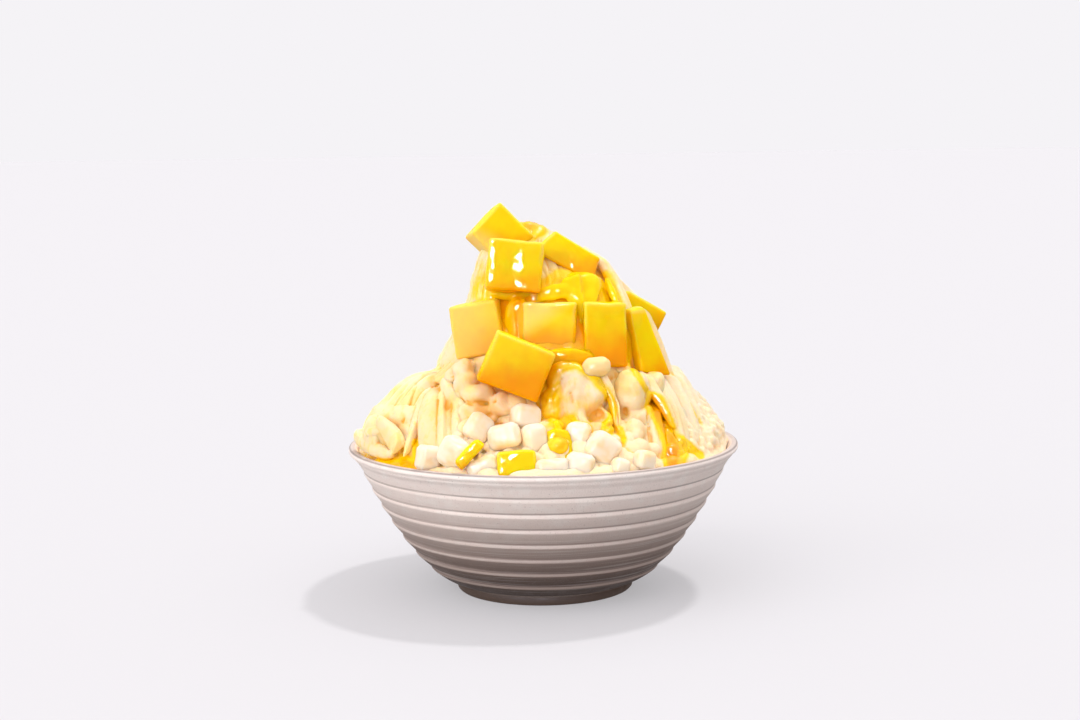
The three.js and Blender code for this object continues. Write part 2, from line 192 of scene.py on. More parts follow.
@dataclass
class Surface:
    """Points in millimetres and the faces between them."""

    points: Array
    quads: Array = field(default_factory=lambda: np.zeros((0, 4), int))
    triangles: Array = field(default_factory=lambda: np.zeros((0, 3), int))

    @staticmethod
    def joined(surfaces: list["Surface"]) -> "Surface":
        """All the surfaces in one, with the numbers of the later points moved up.

        Args:
            surfaces: the surfaces to join.

        Returns:
            The one surface.
        """
        starts = np.cumsum([0] + [len(s.points) for s in surfaces[:-1]])
        return Surface(
            np.concatenate([s.points for s in surfaces]),
            np.concatenate([s.quads + start for s, start in zip(surfaces, starts)]),
            np.concatenate([s.triangles + start for s, start in zip(surfaces, starts)]),
        )

    @staticmethod
    def rings(grid: Array) -> "Surface":
        """A closed surface of rings, whose ends close on the middle of the first and the last ring.

        Args:
            grid: points by ring and by place in the ring, rings by sides by 3.

        Returns:
            The surface, facing out when each ring turns anticlockwise seen from the last one.
        """
        rows, sides = grid.shape[:2]
        number = np.arange(rows * sides).reshape(rows, sides)
        after = np.roll(number, -1, axis=1)
        quads = np.stack([number[:-1], after[:-1], after[1:], number[1:]], axis=-1).reshape(-1, 4)
        first, last = rows * sides, rows * sides + 1
        start = np.stack([np.full(sides, first), after[0], number[0]], axis=-1)
        end = np.stack([np.full(sides, last), number[-1], after[-1]], axis=-1)
        poles = np.stack([grid[0].mean(axis=0), grid[-1].mean(axis=0)])
        return Surface(np.concatenate([grid.reshape(-1, 3), poles]), quads, np.concatenate([start, end]))

    def object(self, name: str) -> bpy.types.Object:
        """The surface as a smooth object in the scene, with its points in metres.

        Args:
            name: the object's name.

        Returns:
            The object.
        """
        mesh = bpy.data.meshes.new(name)
        mesh.from_pydata((self.points * MM).tolist(), [], self.quads.tolist() + self.triangles.tolist())
        mesh.shade_smooth()
        made = bpy.data.objects.new(name, mesh)
        bpy.context.scene.collection.objects.link(made)
        return made


def grid_quads(number: Array) -> Array:
    """The faces between the points of a grid, or of several grids.

    Args:
        number: the points' numbers, by grid if there are several, by row and by column.

    Returns:
        Faces of four points.
    """
    corners = [number[..., :-1, :-1], number[..., :-1, 1:], number[..., 1:, 1:], number[..., 1:, :-1]]
    return np.stack(corners, axis=-1).reshape(-1, 4)


def unit_ball(stacks: int, slices: int) -> Array:
    """A ball of radius 1 as rings from its lower pole to its upper one.

    Args:
        stacks: how many rings.
        slices: points of each ring.

    Returns:
        Points, stacks by slices by 3.
    """
    fall = np.pi * (np.arange(stacks) + 0.5) / stacks
    turn = even_turns(slices)
    round_x = np.sin(fall)[:, None] * np.cos(turn)[None, :]
    round_y = np.sin(fall)[:, None] * np.sin(turn)[None, :]
    height = np.repeat(-np.cos(fall)[:, None], slices, axis=1)
    return np.stack([round_x, round_y, height], axis=-1)


def balls(centres: Array, halves: Array, stacks: int, slices: int) -> Surface:
    """Many rounded grains in one surface: a ball scaled by three half sizes and moved, for each centre.

    Args:
        centres: middles, n by 3.
        halves: half sizes along X, Y and Z, n by 3.
        stacks: rings of each ball.
        slices: sides of each ball.

    Returns:
        The joined surface.
    """
    pattern = Surface.rings(unit_ball(stacks, slices))
    size = len(pattern.points)
    points = centres[:, None, :] + pattern.points[None] * halves[:, None, :]
    starts = (np.arange(len(centres)) * size)[:, None, None]
    return Surface(
        points.reshape(-1, 3),
        (pattern.quads[None] + starts).reshape(-1, 4),
        (pattern.triangles[None] + starts).reshape(-1, 3),
    )


def along_path(path: Array, radii: Array, sides: int = 12) -> Surface:
    """A round strand: at each point of the path stands a circle across its direction.

    Args:
        path: points of the middle line, n by 3.
        radii: radius at each point.
        sides: points round the strand.

    Returns:
        The closed strand.
    """
    ahead = unit(np.gradient(path, axis=0))
    aside = unit(np.cross(ahead, np.array([0.31, 0.17, 0.93])))
    above = np.cross(ahead, aside)
    turn = even_turns(sides)
    spokes = aside[:, None] * np.cos(turn)[None, :, None] + above[:, None] * np.sin(turn)[None, :, None]
    return Surface.rings(path[:, None] + spokes * radii[:, None, None])


def smooth_path(corners: Array, count: int) -> Array:
    """A curve through the corners: each stretch is a Catmull-Rom cubic of the four corners round it.

    Args:
        corners: the points that the curve passes, n by 3.
        count: how many points it gets.

    Returns:
        Points along the curve, count by 3.
    """
    padded = np.concatenate([2 * corners[:1] - corners[1:2], corners, 2 * corners[-1:] - corners[-2:-1]])
    place = np.linspace(0, len(corners) - 1, count)
    leg = np.minimum(place.astype(int), len(corners) - 2)
    t = (place - leg)[:, None]
    a, b, c, d = (padded[leg + shift] for shift in range(4))
    return 0.5 * (2 * b + (c - a) * t + (2 * a - 5 * b + 4 * c - d) * t**2 + (3 * b - a - 3 * c + d) * t**3)


def neighbour_mean(values: Array, edges: Array) -> Array:
    """For each point the mean of the values at the other ends of its edges.

    Args:
        values: one row for each point.
        edges: pairs of point numbers.

    Returns:
        The means, shaped as the values.
    """
    count = len(values)
    here = np.concatenate([edges[:, 0], edges[:, 1]])
    there = np.concatenate([edges[:, 1], edges[:, 0]])
    many = np.maximum(np.bincount(here, minlength=count), 1)
    columns = [np.bincount(here, weights=column[there], minlength=count) / many for column in values.T]
    return np.stack(columns, axis=-1)


def read(items: bpy.types.bpy_prop_collection, name: str, width: int = 3, kind: type = float) -> Array:
    """The numbers that a mesh keeps for its points, edges or faces.

    Args:
        items: the mesh's points, edges or faces.
        name: what to read of them.
        width: how many numbers each one has.
        kind: the type of the numbers.

    Returns:
        One row for each item.
    """
    values = np.empty(len(items) * width, kind)
    items.foreach_get(name, values)
    return values.reshape(-1, width)


def paint(piece: bpy.types.Object, name: str, values: Array) -> None:
    """Stores a number from 0 to 1 at each point, for the finish to read."""
    layer = piece.data.attributes.new(name, "FLOAT", "POINT")
    layer.data.foreach_set("value", np.clip(values, 0.0, 1.0).astype(np.float32))


class Melt:
    """Joins overlapping surfaces into one skin, and works on its points as whole arrays."""

    def __init__(self, name: str, surface: Surface, voxel: float) -> None:
        """Remeshes the surface on a grid of cubes.

        Args:
            name: name of the object.
            surface: overlapping closed surfaces.
            voxel: side of a cube in millimetres.
        """
        self.object = surface.object(name)
        remesh = self.object.modifiers.new("skin", "REMESH")
        remesh.mode = "VOXEL"
        remesh.voxel_size = voxel * MM
        self.settle()

    def settle(self) -> None:
        """Applies the modifiers, and reads the points, normals and edges of the result."""
        graph = bpy.context.evaluated_depsgraph_get()
        graph.update()
        mesh = bpy.data.meshes.new_from_object(self.object.evaluated_get(graph))
        old = self.object.data
        self.object.modifiers.clear()
        self.object.data = mesh
        bpy.data.meshes.remove(old)
        self.object.data.name = self.object.name
        mesh.shade_smooth()
        self.points = read(mesh.vertices, "co") / MM
        self.edges = read(mesh.edges, "vertices", 2, np.int32)
        self.normals = read(mesh.vertex_normals, "vector")

    def move(self, points: Array) -> None:
        """Puts the points where they are said to be, and reads the normals again.

        Args:
            points: the new places, in millimetres.
        """
        self.points = points
        self.object.data.vertices.foreach_set("co", (points * MM).astype(np.float32).ravel())
        self.object.data.update()
        self.normals = read(self.object.data.vertex_normals, "vector")

    def relax(self, rounds: int, share: float = 0.5) -> None:
        """Moves each point some way to the middle of its neighbours, several times.

        Args:
            rounds: how many times.
            share: how much of the way.
        """
        points = self.points
        for _ in range(rounds):
            points = points + share * (neighbour_mean(points, self.edges) - points)
        self.move(points)

    def hollowness(self, rounds: int) -> Array:
        """How far each point lies below the skin smoothed over many rounds.

        Args:
            rounds: how many times the skin is smoothed.

        Returns:
            Depths in millimetres.
        """
        smooth = self.points
        for _ in range(rounds):
            smooth = neighbour_mean(smooth, self.edges)
        return np.sum((smooth - self.points) * self.normals, axis=1)

    def thin(self, triangles: int) -> None:
        """Merges the flattest edges until few enough triangles are left.

        Args:
            triangles: about how many may be left.
        """
        mesh = self.object.data
        mesh.calc_loop_triangles()
        have = len(mesh.loop_triangles)
        if have > triangles:
            decimate = self.object.modifiers.new("thin", "DECIMATE")
            decimate.ratio = triangles / have
            self.settle()

    def paint(self, name: str, values: Array) -> None:
        """Stores a number from 0 to 1 at each point of the skin."""
        paint(self.object, name, values)


def place(piece: bpy.types.Object, nodes: list[str], slot: Slot | None, material: bpy.types.Material) -> None:
    """Lets a piece ride on the body, stand for its nodes and carry its finish.

    Args:
        piece: the finished object.
        nodes: the nodes that it stands for.
        slot: not used.
        material: its finish.
    """
    piece.data.materials.clear()
    piece.data.materials.append(material)
    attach(piece, BODY)
    if nodes:
        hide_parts(*nodes)
    piece.data.calc_loop_triangles()
    log.info("%s: %d triangles", piece.name, len(piece.data.loop_triangles))


def node_points(name: str) -> Array:
    """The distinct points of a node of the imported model, in millimetres."""
    points = read(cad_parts[name].data.vertices, "co") / MM
    return np.unique(np.round(points, 3), axis=0)


def round_node(name: str) -> tuple[Array, float]:
    """The middle of a node's box and half its height, in millimetres."""
    low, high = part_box(name)
    return np.array((low + high) / 2) / MM, (high.z - low.z) / 2 / MM


def nodes_named(start: str) -> list[str]:
    """The nodes whose names start so, in order."""
    return sorted(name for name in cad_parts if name.startswith(start))


# ---- finishes


def tone(red: int, green: int, blue: int) -> Colour:
    """A colour as light: each display value from 0 to 255 by the sRGB curve."""
    shares = [value / 255 for value in (red, green, blue)]
    return tuple(s / 12.92 if s <= 0.04045 else ((s + 0.055) / 1.055) ** 2.4 for s in shares)


class Shader:
    """Writes the nodes of one material round its Principled shader."""

    def __init__(self, name: str) -> None:
        """Starts a material.

        Args:
            name: its name.
        """
        self.material = bpy.data.materials.new(name)
        self.material.use_nodes = True
        self.tree = self.material.node_tree
        self.surface = self.tree.nodes["Principled BSDF"]
        self.here = self.tree.nodes.new("ShaderNodeTexCoord").outputs["Object"]

    def node(self, kind: str, feeds: dict[str | int, Feed], **settings: str) -> bpy.types.Node:
        """Adds a node.

        Args:
            kind: its type, without the usual start of the name.
            feeds: value or socket for each input, by name or number.
            settings: its other properties.

        Returns:
            The node.
        """
        made = self.tree.nodes.new("ShaderNode" + kind)
        for key, value in settings.items():
            setattr(made, key, value)
        for key, value in feeds.items():
            self.feed(made.inputs[key], value)
        return made

    def feed(self, socket: bpy.types.NodeSocket, value: Feed) -> None:
        """Links a socket to an input, or sets the input's own value.

        Args:
            socket: the input.
            value: another node's output, or a number or colour.
        """
        if isinstance(value, Output):
            self.tree.links.new(value, socket)
        elif isinstance(value, tuple) and len(value) == 3 and socket.type == "RGBA":
            socket.default_value = (*value, 1.0)
        else:
            socket.default_value = value

    def set(self, **feeds: Feed) -> None:
        """Feeds the Principled shader's inputs, named with underscores for spaces."""
        for key, value in feeds.items():
            self.feed(self.surface.inputs[key.replace("_", " ")], value)

    def painted(self, name: str) -> Output:
        """The number that a piece stores under this name."""
        return self.node("Attribute", {}, attribute_name=name).outputs["Fac"]

    def grain(self, size: float, detail: float = 3.0, stretch: Triple = (1.0, 1.0, 1.0)) -> Output:
        """Cloudy noise from 0 to 1.

        Args:
            size: size of its features in millimetres.
            detail: how many finer layers it has.
            stretch: how much longer the features are along X, Y and Z.

        Returns:
            The noise.
        """
        spread = self.node("Mapping", {"Vector": self.here, "Scale": tuple(1 / s for s in stretch)})
        feeds = {"Vector": spread.outputs[0], "Scale": 1 / (size * MM), "Detail": detail}
        return self.node("TexNoise", feeds).outputs["Fac"]

    def span(self, value: Output, low: float, high: float, start: float = 0.0, end: float = 1.0) -> Output:
        """Maps one range onto another by a smooth step, and stops at its ends.

        Args:
            value: the number to map.
            low: where the range starts.
            high: where it ends.
            start: the result at low.
            end: the result at high.

        Returns:
            The mapped number.
        """
        feeds = {"Value": value, "From Min": low, "From Max": high, "To Min": start, "To Max": end}
        return self.node("MapRange", feeds, interpolation_type="SMOOTHSTEP").outputs[0]

    def plus(self, first: Feed, second: Feed) -> Output:
        """Adds two numbers."""
        return self.node("Math", {0: first, 1: second}, operation="ADD").outputs[0]

    def minus(self, first: Feed, second: Feed) -> Output:
        """Takes the second number from the first."""
        return self.node("Math", {0: first, 1: second}, operation="SUBTRACT").outputs[0]

    def times(self, first: Feed, second: Feed) -> Output:
        """Multiplies two numbers."""
        return self.node("Math", {0: first, 1: second}, operation="MULTIPLY").outputs[0]

    def blend(self, share: Feed, first: Feed, second: Feed) -> Output:
        """Mixes a share of the second colour into the first."""
        return self.node("Mix", {0: share, 6: first, 7: second}, data_type="RGBA").outputs[2]

    def mark(self, body: Feed, name: str, colour: Colour) -> Output:
        """Mixes a colour in where a piece stores the mark of this name."""
        return self.blend(self.painted(name), body, colour)

    def bump(self, height: Output, depth: float, strength: float, under: Output | None = None) -> Output:
        """Relief that only the light sees.

        Args:
            height: the relief's height, from 0 to 1.
            depth: the depth that a height of 1 stands for, in millimetres.
            strength: how much of it shows.
            under: other relief that this one lies on.

        Returns:
            The direction in which the relief faces.
        """
        feeds = {"Height": height, "Distance": depth * MM, "Strength": strength}
        if under is not None:
            feeds["Normal"] = under
        return self.node("Bump", feeds).outputs[0]


@dataclass(frozen=True)
class Stoneware:
    """Matte speckled grey stoneware, brushed round, with painted shade below and in the grooves, darker along
    the lip.
    """

    clay: Colour = tone(250, 234, 225)
    worn: Colour = tone(255, 246, 238)
    # painted shade down the outside: the clay turns to shade lower down and to low at the very bottom
    shade: Colour = tone(150, 118, 102)
    low: Colour = tone(50, 37, 29)
    # the specks' colour, also painted as shade in the grooves
    speck_and_groove_shade: Colour = tone(146, 128, 121)
    lip: Colour = tone(112, 96, 90)
    foot: Colour = tone(76, 57, 44)
    worn_share: float = 0.5
    low_share: float = 0.92
    brushed_share: float = 0.14
    speck_share: float = 0.4

    def material(self) -> bpy.types.Material:
        """Clay with brushed bands, sandy mottling, specks, a dark lip line and a dark foot.

        Returns:
            The material.
        """
        shader = Shader("stoneware")
        brushed = shader.grain(2.4, 6.0, (26.0, 26.0, 0.35))
        mottle = shader.grain(7.0, 5.0)
        sand = shader.grain(0.6, 2.0)
        body = shader.blend(shader.span(mottle, 0.45, 0.65, 0.0, self.worn_share), self.clay, self.worn)
        # painted shade: darker towards the bottom of the outside
        low = shader.painted("low")
        body = shader.blend(low, body, self.shade)
        body = shader.blend(shader.times(shader.times(low, low), self.low_share), body, self.low)
        body = shader.blend(shader.span(brushed, 0.52, 0.7, 0.0, self.brushed_share), body, self.worn)
        body = shader.blend(shader.span(sand, 0.64, 0.72, 0.0, self.speck_share), body, self.speck_and_groove_shade)
        # the groove mark is painted shade under each rib
        for name, colour in (("groove_shade", self.speck_and_groove_shade), ("lip", self.lip), ("foot", self.foot)):
            body = shader.mark(body, name, colour)
        relief = shader.bump(brushed, 0.2, 0.7)
        relief = shader.bump(sand, 0.12, 0.9, relief)
        shader.set(Base_Color=body, Roughness=shader.span(mottle, 0.3, 0.7, 0.6, 0.8), Normal=relief)
        shader.set(Specular_IOR_Level=0.35)
        return shader.material


@dataclass(frozen=True)
class SnowIceFinish:
    """Cream snow ice, softly lit from inside, with syrup soaked into its folds and painted shade in its
    hollows.
    """

    cream: Colour = tone(250, 223, 183)
    frost: Colour = tone(251, 226, 190)
    blush: Colour = tone(251, 219, 152)
    stain: Colour = tone(252, 212, 100)
    # painted shade in creases, holes and the crater
    tan: Colour = tone(240, 200, 128)
    soaked: Colour = tone(254, 206, 0)
    deep: Colour = tone(241, 168, 0)
    # painted shade in the hollows, creases and dents
    amber_shade: Colour = tone(241, 184, 76)
    stain_share: float = 0.5
    raggedness: float = 0.8
    glow_reach: float = 1.8
    glow_radius: Colour = (1.0, 0.72, 0.4)

    def material(self) -> bpy.types.Material:
        """Cream to white by how fluffy it is, yellow where syrup runs, amber and tan painted shade in the
        hollows.

        Returns:
            The material.
        """
        shader = Shader("snow_ice")
        patches = shader.grain(12.0, 3.0)
        crystals = shader.grain(0.9, 3.0)
        veins = shader.grain(4.5, 4.0, (1.0, 1.0, 2.6))
        body = shader.blend(shader.span(patches, 0.42, 0.62), self.cream, self.blush)
        stained = shader.span(shader.grain(3.2, 3.0, (1.0, 1.0, 2.0)), 0.5, 0.72, 0.0, self.stain_share)
        body = shader.blend(stained, body, self.stain)
        # fluff is whiter snow; the amber and tan marks are painted shade
        for name, colour in (("fluff", self.frost), ("tan", self.tan), ("hollow_shade", self.amber_shade)):
            body = shader.mark(body, name, colour)
        soak = shader.times(shader.painted("soak"), 1.0 / SOAK_STORED)
        ragged = shader.plus(soak, shader.times(shader.minus(veins, 0.5), self.raggedness))
        wet = shader.times(shader.span(ragged, 0.25, 0.7), shader.span(soak, 0.02, 0.25))
        syrup = shader.blend(shader.span(ragged, 0.95, 1.8), self.soaked, self.deep)
        body = shader.blend(wet, body, syrup)
        relief = shader.bump(crystals, 0.3, 0.5)
        shader.set(Base_Color=body, Normal=relief)
        shader.set(Roughness=shader.span(ragged, 0.6, 1.3, 0.5, 0.14))
        shader.set(Subsurface_Weight=shader.span(wet, 0.0, 1.0, 0.9, 0.5))
        shader.set(Subsurface_Radius=self.glow_radius, Subsurface_Scale=self.glow_reach * MM)
        shader.set(Specular_IOR_Level=shader.span(ragged, 0.6, 1.3, 0.2, 0.4))
        return shader.material


@dataclass(frozen=True)
class MangoFinish:
    """Mango flesh with painted shade: yellow above, orange lower down, with a moist cut surface."""

    flesh: Colour = tone(255, 216, 0)
    # painted shade: the orange that the flesh turns to lower down
    shade_orange: Colour = tone(244, 163, 0)
    # a paler side, and the painted highlight along the upper edges
    pale: Colour = tone(255, 216, 118)
    roughness: float = 0.36
    wet_roughness: float = 0.05
    drift: float = 0.45
    glow_reach: float = 5.0
    glow_radius: Colour = (1.0, 0.42, 0.04)
    gloss_tint: Colour = (1.0, 0.88, 0.5)

    def material(self) -> bpy.types.Material:
        """Flesh turns orange downwards in slow clouds as painted shade. It has fine fibres and, where
        painted, pale faces and painted highlights along upper edges.

        Returns:
            The material.
        """
        shader = Shader("mango_flesh")
        clouds = shader.grain(9.0, 2.0)
        fibres = shader.grain(1.6, 4.0, (1.0, 1.0, 3.5))
        drift = shader.times(shader.minus(clouds, 0.5), self.drift)
        # painted shade: deeper orange lower down each block
        depth = shader.span(shader.plus(shader.painted("low"), drift), 0.2, 0.8)
        body = shader.blend(depth, self.flesh, self.shade_orange)
        body = shader.mark(body, "pale", self.pale)
        relief = shader.bump(fibres, 0.12, 0.4)
        shader.set(Base_Color=body, Normal=relief)
        dry = shader.span(fibres, 0.3, 0.7, self.roughness, self.roughness + 0.1)
        wet = shader.painted("wet")
        dry_share = shader.times(dry, shader.minus(1.0, wet))
        shader.set(Roughness=shader.plus(dry_share, self.wet_roughness), Specular_Tint=self.gloss_tint)
        shader.set(Subsurface_Radius=self.glow_radius, Subsurface_Scale=self.glow_reach * MM)
        shader.set(Subsurface_Weight=1.0, Specular_IOR_Level=shader.span(wet, 0.0, 1.0, 0.08, 0.36))
        return shader.material


@dataclass(frozen=True)
class JellyFinish:
    """Milky coconut jelly, almost white, with a wet skin."""

    milk: Colour = tone(252, 229, 205)
    warm: Colour = tone(252, 217, 170)
    tinted: Colour = tone(252, 212, 140)
    gloss: float = 0.18
    glow_reach: float = 4.0
    glow_radius: Colour = (1.0, 0.9, 0.7)

    def material(self) -> bpy.types.Material:
        """Milk white with warmer clouds.

        Returns:
            The material.
        """
        shader = Shader("coconut_jelly")
        clouds = shader.grain(7.0, 2.0)
        skin = shader.grain(2.2, 2.0)
        body = shader.blend(shader.span(clouds, 0.45, 0.7), self.milk, self.warm)
        body = shader.mark(body, "tint", self.tinted)
        shader.set(Base_Color=body, Normal=shader.bump(skin, 0.15, 0.4))
        shader.set(Roughness=shader.span(skin, 0.3, 0.7, 0.3, 0.44), Specular_IOR_Level=self.gloss)
        shader.set(Subsurface_Radius=self.glow_radius, Subsurface_Scale=self.glow_reach * MM)
        shader.set(Subsurface_Weight=1.0)
        return shader.material


@dataclass(frozen=True)
class SyrupFinish:
    """Clear mango syrup, thick enough to hold its shape."""

    thin: Colour = tone(255, 216, 16)
    thick: Colour = tone(254, 206, 8)
    deep: Colour = tone(247, 172, 0)
    gloss: float = 0.3
    gloss_tint: Colour = (1.0, 0.92, 0.4)
    glow_reach: float = 3.0
    glow_radius: Colour = (1.0, 0.85, 0.08)

    def material(self, name: str) -> bpy.types.Material:
        """Yellow to orange in slow clouds under a wet gloss.

        Args:
            name: the material's name.

        Returns:
            The material.
        """
        shader = Shader(name)
        clouds = shader.grain(7.0, 2.0)
        swirl = shader.grain(3.5, 1.0)
        body = shader.blend(shader.span(clouds, 0.38, 0.62), self.thin, self.thick)
        # darker orange where a piece marks its syrup deep, which is partly painted shade between the cubes
        body = shader.mark(body, "deep", self.deep)
        shader.set(Base_Color=body, Normal=shader.bump(swirl, 0.3, 0.5))
        shader.set(Roughness=shader.span(clouds, 0.2, 0.8, 0.05, 0.1), Subsurface_Weight=1.0)
        shader.set(Subsurface_Radius=self.glow_radius, Subsurface_Scale=self.glow_reach * MM)
        shader.set(Specular_IOR_Level=self.gloss, Specular_Tint=self.gloss_tint)
        return shader.material


@dataclass(frozen=True)
class StudioFloor:
    """Plain pale paper under the serving, lit a little from below, as a light table is."""

    paper: Colour = (0.38, 0.37, 0.38)
    glow: Colour = (1.0, 0.985, 1.01)
    glow_strength: float = 0.355

    def material(self) -> bpy.types.Material:
        """Matte paper with a barely visible tooth.

        Returns:
            The material.
        """
        shader = Shader("paper")
        tooth = shader.grain(3.0, 2.0)
        shader.set(Base_Color=self.paper, Roughness=0.7, Normal=shader.bump(tooth, 0.05, 0.2))
        shader.set(Emission_Color=self.glow, Emission_Strength=self.glow_strength, Specular_IOR_Level=0.0)
        return shader.material


# ---- bowl


@dataclass
class Bowl:
    """The turned bowl: a foot ring, eight stepped ribs and a plain rounded lip."""

    wall: float = 3.4
    lip: float = 2.6
    foot_radius: float = 40.0
    foot_height: float = 4.7
    foot_ring_inside: float = 35.0
    foot_recess: float = 1.2
    waist_radius: float = 41.5
    wall_curve: float = 0.64
    rib_pitch: float = 7.5
    rib_count: int = 8
    rib_depth: float = 1.2
    rib_ledge: float = 1.6
    rib_softness: float = 0.16
    # how far the ribs are worn down near the lip, and between which heights that begins
    rib_wear: float = 0.5
    wear_from: float = 44.0
    wear_to: float = 58.0
    band_height: float = 3.3
    band_ribs: float = 7.6
    floor_height: float = 9.0
    wobble: float = 0.16
    wobble_length: float = 17.0
    segments: int = 240
    rows_per_rib: int = 20
    inside_rows: int = 26
    radius: float = field(init=False)
    height: float = field(init=False)

    def __post_init__(self) -> None:
        """Reads the lip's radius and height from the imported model."""
        _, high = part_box("bowl")
        self.radius, self.height = high.x / MM, high.z / MM

    def wall_radius(self, height: Array) -> Array:
        """Radius at the bottom of the grooves: waist plus a power of the share of the climb."""
        climb = np.maximum(0.0, height - self.foot_height) / (self.height - self.foot_height)
        return self.waist_radius + (self.radius - self.rib_depth - self.waist_radius) * climb**self.wall_curve

    def inside_radius(self, height: Array) -> Array:
        """Radius of the hollow above the floor's corner."""
        return self.wall_radius(height) - self.wall + self.rib_depth

    def rib_swell(self, height: Array) -> Array:
        """How far a rib stands out.

        It grows up its wall to the crest and falls back over the ledge, and is worn near the lip.

        Args:
            height: heights above the table.

        Returns:
            Distances out from the bottom of the grooves.
        """
        share = ((height - self.foot_height) / self.rib_pitch) % 1.0
        crest = 1.0 - self.rib_ledge / self.rib_pitch
        rise, fall = share / crest, (1.0 - share) / (1.0 - crest)
        near = np.clip(0.5 + 0.5 * (fall - rise) / self.rib_softness, 0.0, 1.0)
        peak = fall * (1.0 - near) + rise * near - self.rib_softness * near * (1.0 - near)
        worn = 1.0 - self.rib_wear * ease(self.wear_from, self.wear_to, height)
        return self.rib_depth * np.clip(peak, 0.0, 1.0) ** 0.9 * worn

    def outside(self) -> Array:
        """Outline from the middle of the foot to the lip.

        The foot ring's rows follow its rounded section. Above them come the ribs at even heights, and then an
        arc over the lip.

        Returns:
            Rows of radius and height.
        """
        ring, foot, top = self.foot_ring_inside, self.foot_radius, self.foot_height
        under = [[4.0, self.foot_recess], [20.0, self.foot_recess], [ring - 0.6, self.foot_recess]]
        ring_rows = [
            [ring, self.foot_recess - 0.3], [ring + 0.5, 0.2], [ring + 1.2, 0.0], [foot - 0.6, 0.0],
            [foot + 0.2, 0.15], [foot + 0.8, 0.8], [foot + 1.2, top * 0.5], [foot + 1.3, top - 1.1],
            [foot + 1.0, top - 0.5], [foot + 0.4, top - 0.1], [foot + 0.9, top + 0.2],
        ]
        band = self.height - self.band_height
        heights = np.linspace(top + 0.4, band, self.rib_count * self.rows_per_rib)
        flush = (self.rib_depth - 0.1) * ease(top + self.band_ribs * self.rib_pitch, band, heights)
        ribs = np.stack([self.wall_radius(heights) + self.rib_swell(heights) + flush, heights], axis=-1)
        turn = np.radians(np.linspace(-35.0, 90.0, 10))
        lip_rows = np.stack(
            [self.radius - 1.3 + 1.3 * np.cos(turn), self.height - 1.5 + 1.5 * np.sin(turn)], axis=-1
        )
        return np.concatenate([under, ring_rows, ribs, lip_rows])

    def inside(self) -> Array:
        """Outline from the lip down the wall and round its corner to the middle of the floor.

        Returns:
            Rows of radius and height.
        """
        heights = np.linspace(self.height - 1.0, self.floor_height + 3.0, self.inside_rows)
        wall = np.stack([self.inside_radius(heights), heights], axis=-1)
        corner, level = wall[-1, 0], self.floor_height
        floor = [[corner - 2.4, level + 1.2], [corner - 6.0, level + 0.2]]
        flat = [[corner * 0.6, level], [corner * 0.3, level], [4.0, level]]
        crown = [[self.radius - self.lip, self.height], [self.radius - self.lip - 0.7, self.height - 0.35]]
        return np.concatenate([crown, wall, floor, flat])

    def surface(self) -> Surface:
        """The outline turned round Z, its ribs straying a little up, down and out as a hand leaves them.

        Returns:
            Rings from the middle of the foot over the lip to the middle of the floor.
        """
        outline = np.concatenate([self.outside(), self.inside()])
        turn = even_turns(self.segments)
        radius = np.repeat(outline[:, :1], self.segments, axis=1)
        height = np.repeat(outline[:, 1:], self.segments, axis=1)
        level_ring = 60 * np.stack([np.cos(turn), np.sin(turn)], axis=-1)
        flat_ring = np.broadcast_to(level_ring, (*radius.shape, 2))
        spot = np.concatenate([flat_ring, height[..., None]], axis=-1)
        stray = noise(spot.reshape(-1, 3), self.wobble_length, 3).reshape(radius.shape)
        free = window(6.0, 12.0, 60.0, 66.0, height)
        radius = radius + self.wobble * stray * free
        height = height + 2.2 * self.wobble * np.sin(2 * turn + 0.5)[None] * free
        grid = np.stack([radius * np.cos(turn)[None], radius * np.sin(turn)[None], height], axis=-1)
        return Surface.rings(grid)

    def build(self) -> None:
        """Makes the bowl, and marks painted shade in its grooves and down its outside, and its lip and foot,
        for the finish.
        """
        surface = self.surface()
        piece = surface.object("ribbed_bowl")
        flat = np.hypot(surface.points[:, 0], surface.points[:, 1])
        high = surface.points[:, 2]
        outer = ease(-1.2, 0.2, flat - self.wall_radius(high))
        share = ((high - self.foot_height) / self.rib_pitch) % 1.0
        stepped = window(self.foot_height, self.foot_height + 1.0, 58.0, 64.0, high) * outer
        # painted shade in the groove under each rib
        groove_shade = np.maximum(1.0 - ease(0.02, 0.12, share), ease(0.97, 1.0, share)) * stepped
        # the ledges face up, so they get less of the painted shade below
        ledge = window(0.74, 0.82, 0.92, 0.98, share) * stepped
        inward = flat - self.radius
        lip = ease(self.height - 0.9, self.height - 0.35, high) * ease(-3.6, -2.8, inward)
        lip = lip * (0.5 + 0.5 * ease(-1.3, -0.5, inward))
        # painted shade, darker towards the bottom of the outside
        low = (1.0 - ease(5.5, 68.5, high)) * outer * (1.0 - 0.3 * ledge)
        marks = {"groove_shade": 0.8 * groove_shade, "lip": 0.8 * lip, "foot": 1.0 - ease(3.6, 5.4, high), "low": low}
        for name, values in marks.items():
            paint(piece, name, values)
        place(piece, ["bowl"], Slot.BOWL, Stoneware().material())


# ---- ice


@dataclass(frozen=True)
class Fold:
    """A folded ribbon that lies on the mound from its upper end to its foot."""

    top_bearing: float
    top_height: float
    foot_bearing: float
    foot_height: float
    width: float
    thickness: float
    pleats: int = 3


@dataclass(frozen=True)
class Strip:
    """A ribbon of ice seen from in front, with stations down the middle of its outer face.

    A station is x, y, z, width and thickness.
    """

    stations: Rows
    pleats: int = 1
    lift: float = 0.0
    relief: float = 1.4


@dataclass(frozen=True)
class Spot:
    """A place on the serving and how far it reaches. Depth counts less than width and height."""

    x: float
    y: float
    z: float
    reach: float
    amount: float = 1.0

    def share(self, points: Array) -> Array:
        """The amount at each point: it falls off as a bell with the distance."""
        away = np.sum(((points - np.array([self.x, self.y, self.z])) * DEPTH_COUNTS) ** 2, axis=1)
        return self.amount * np.exp(-away / self.reach**2)


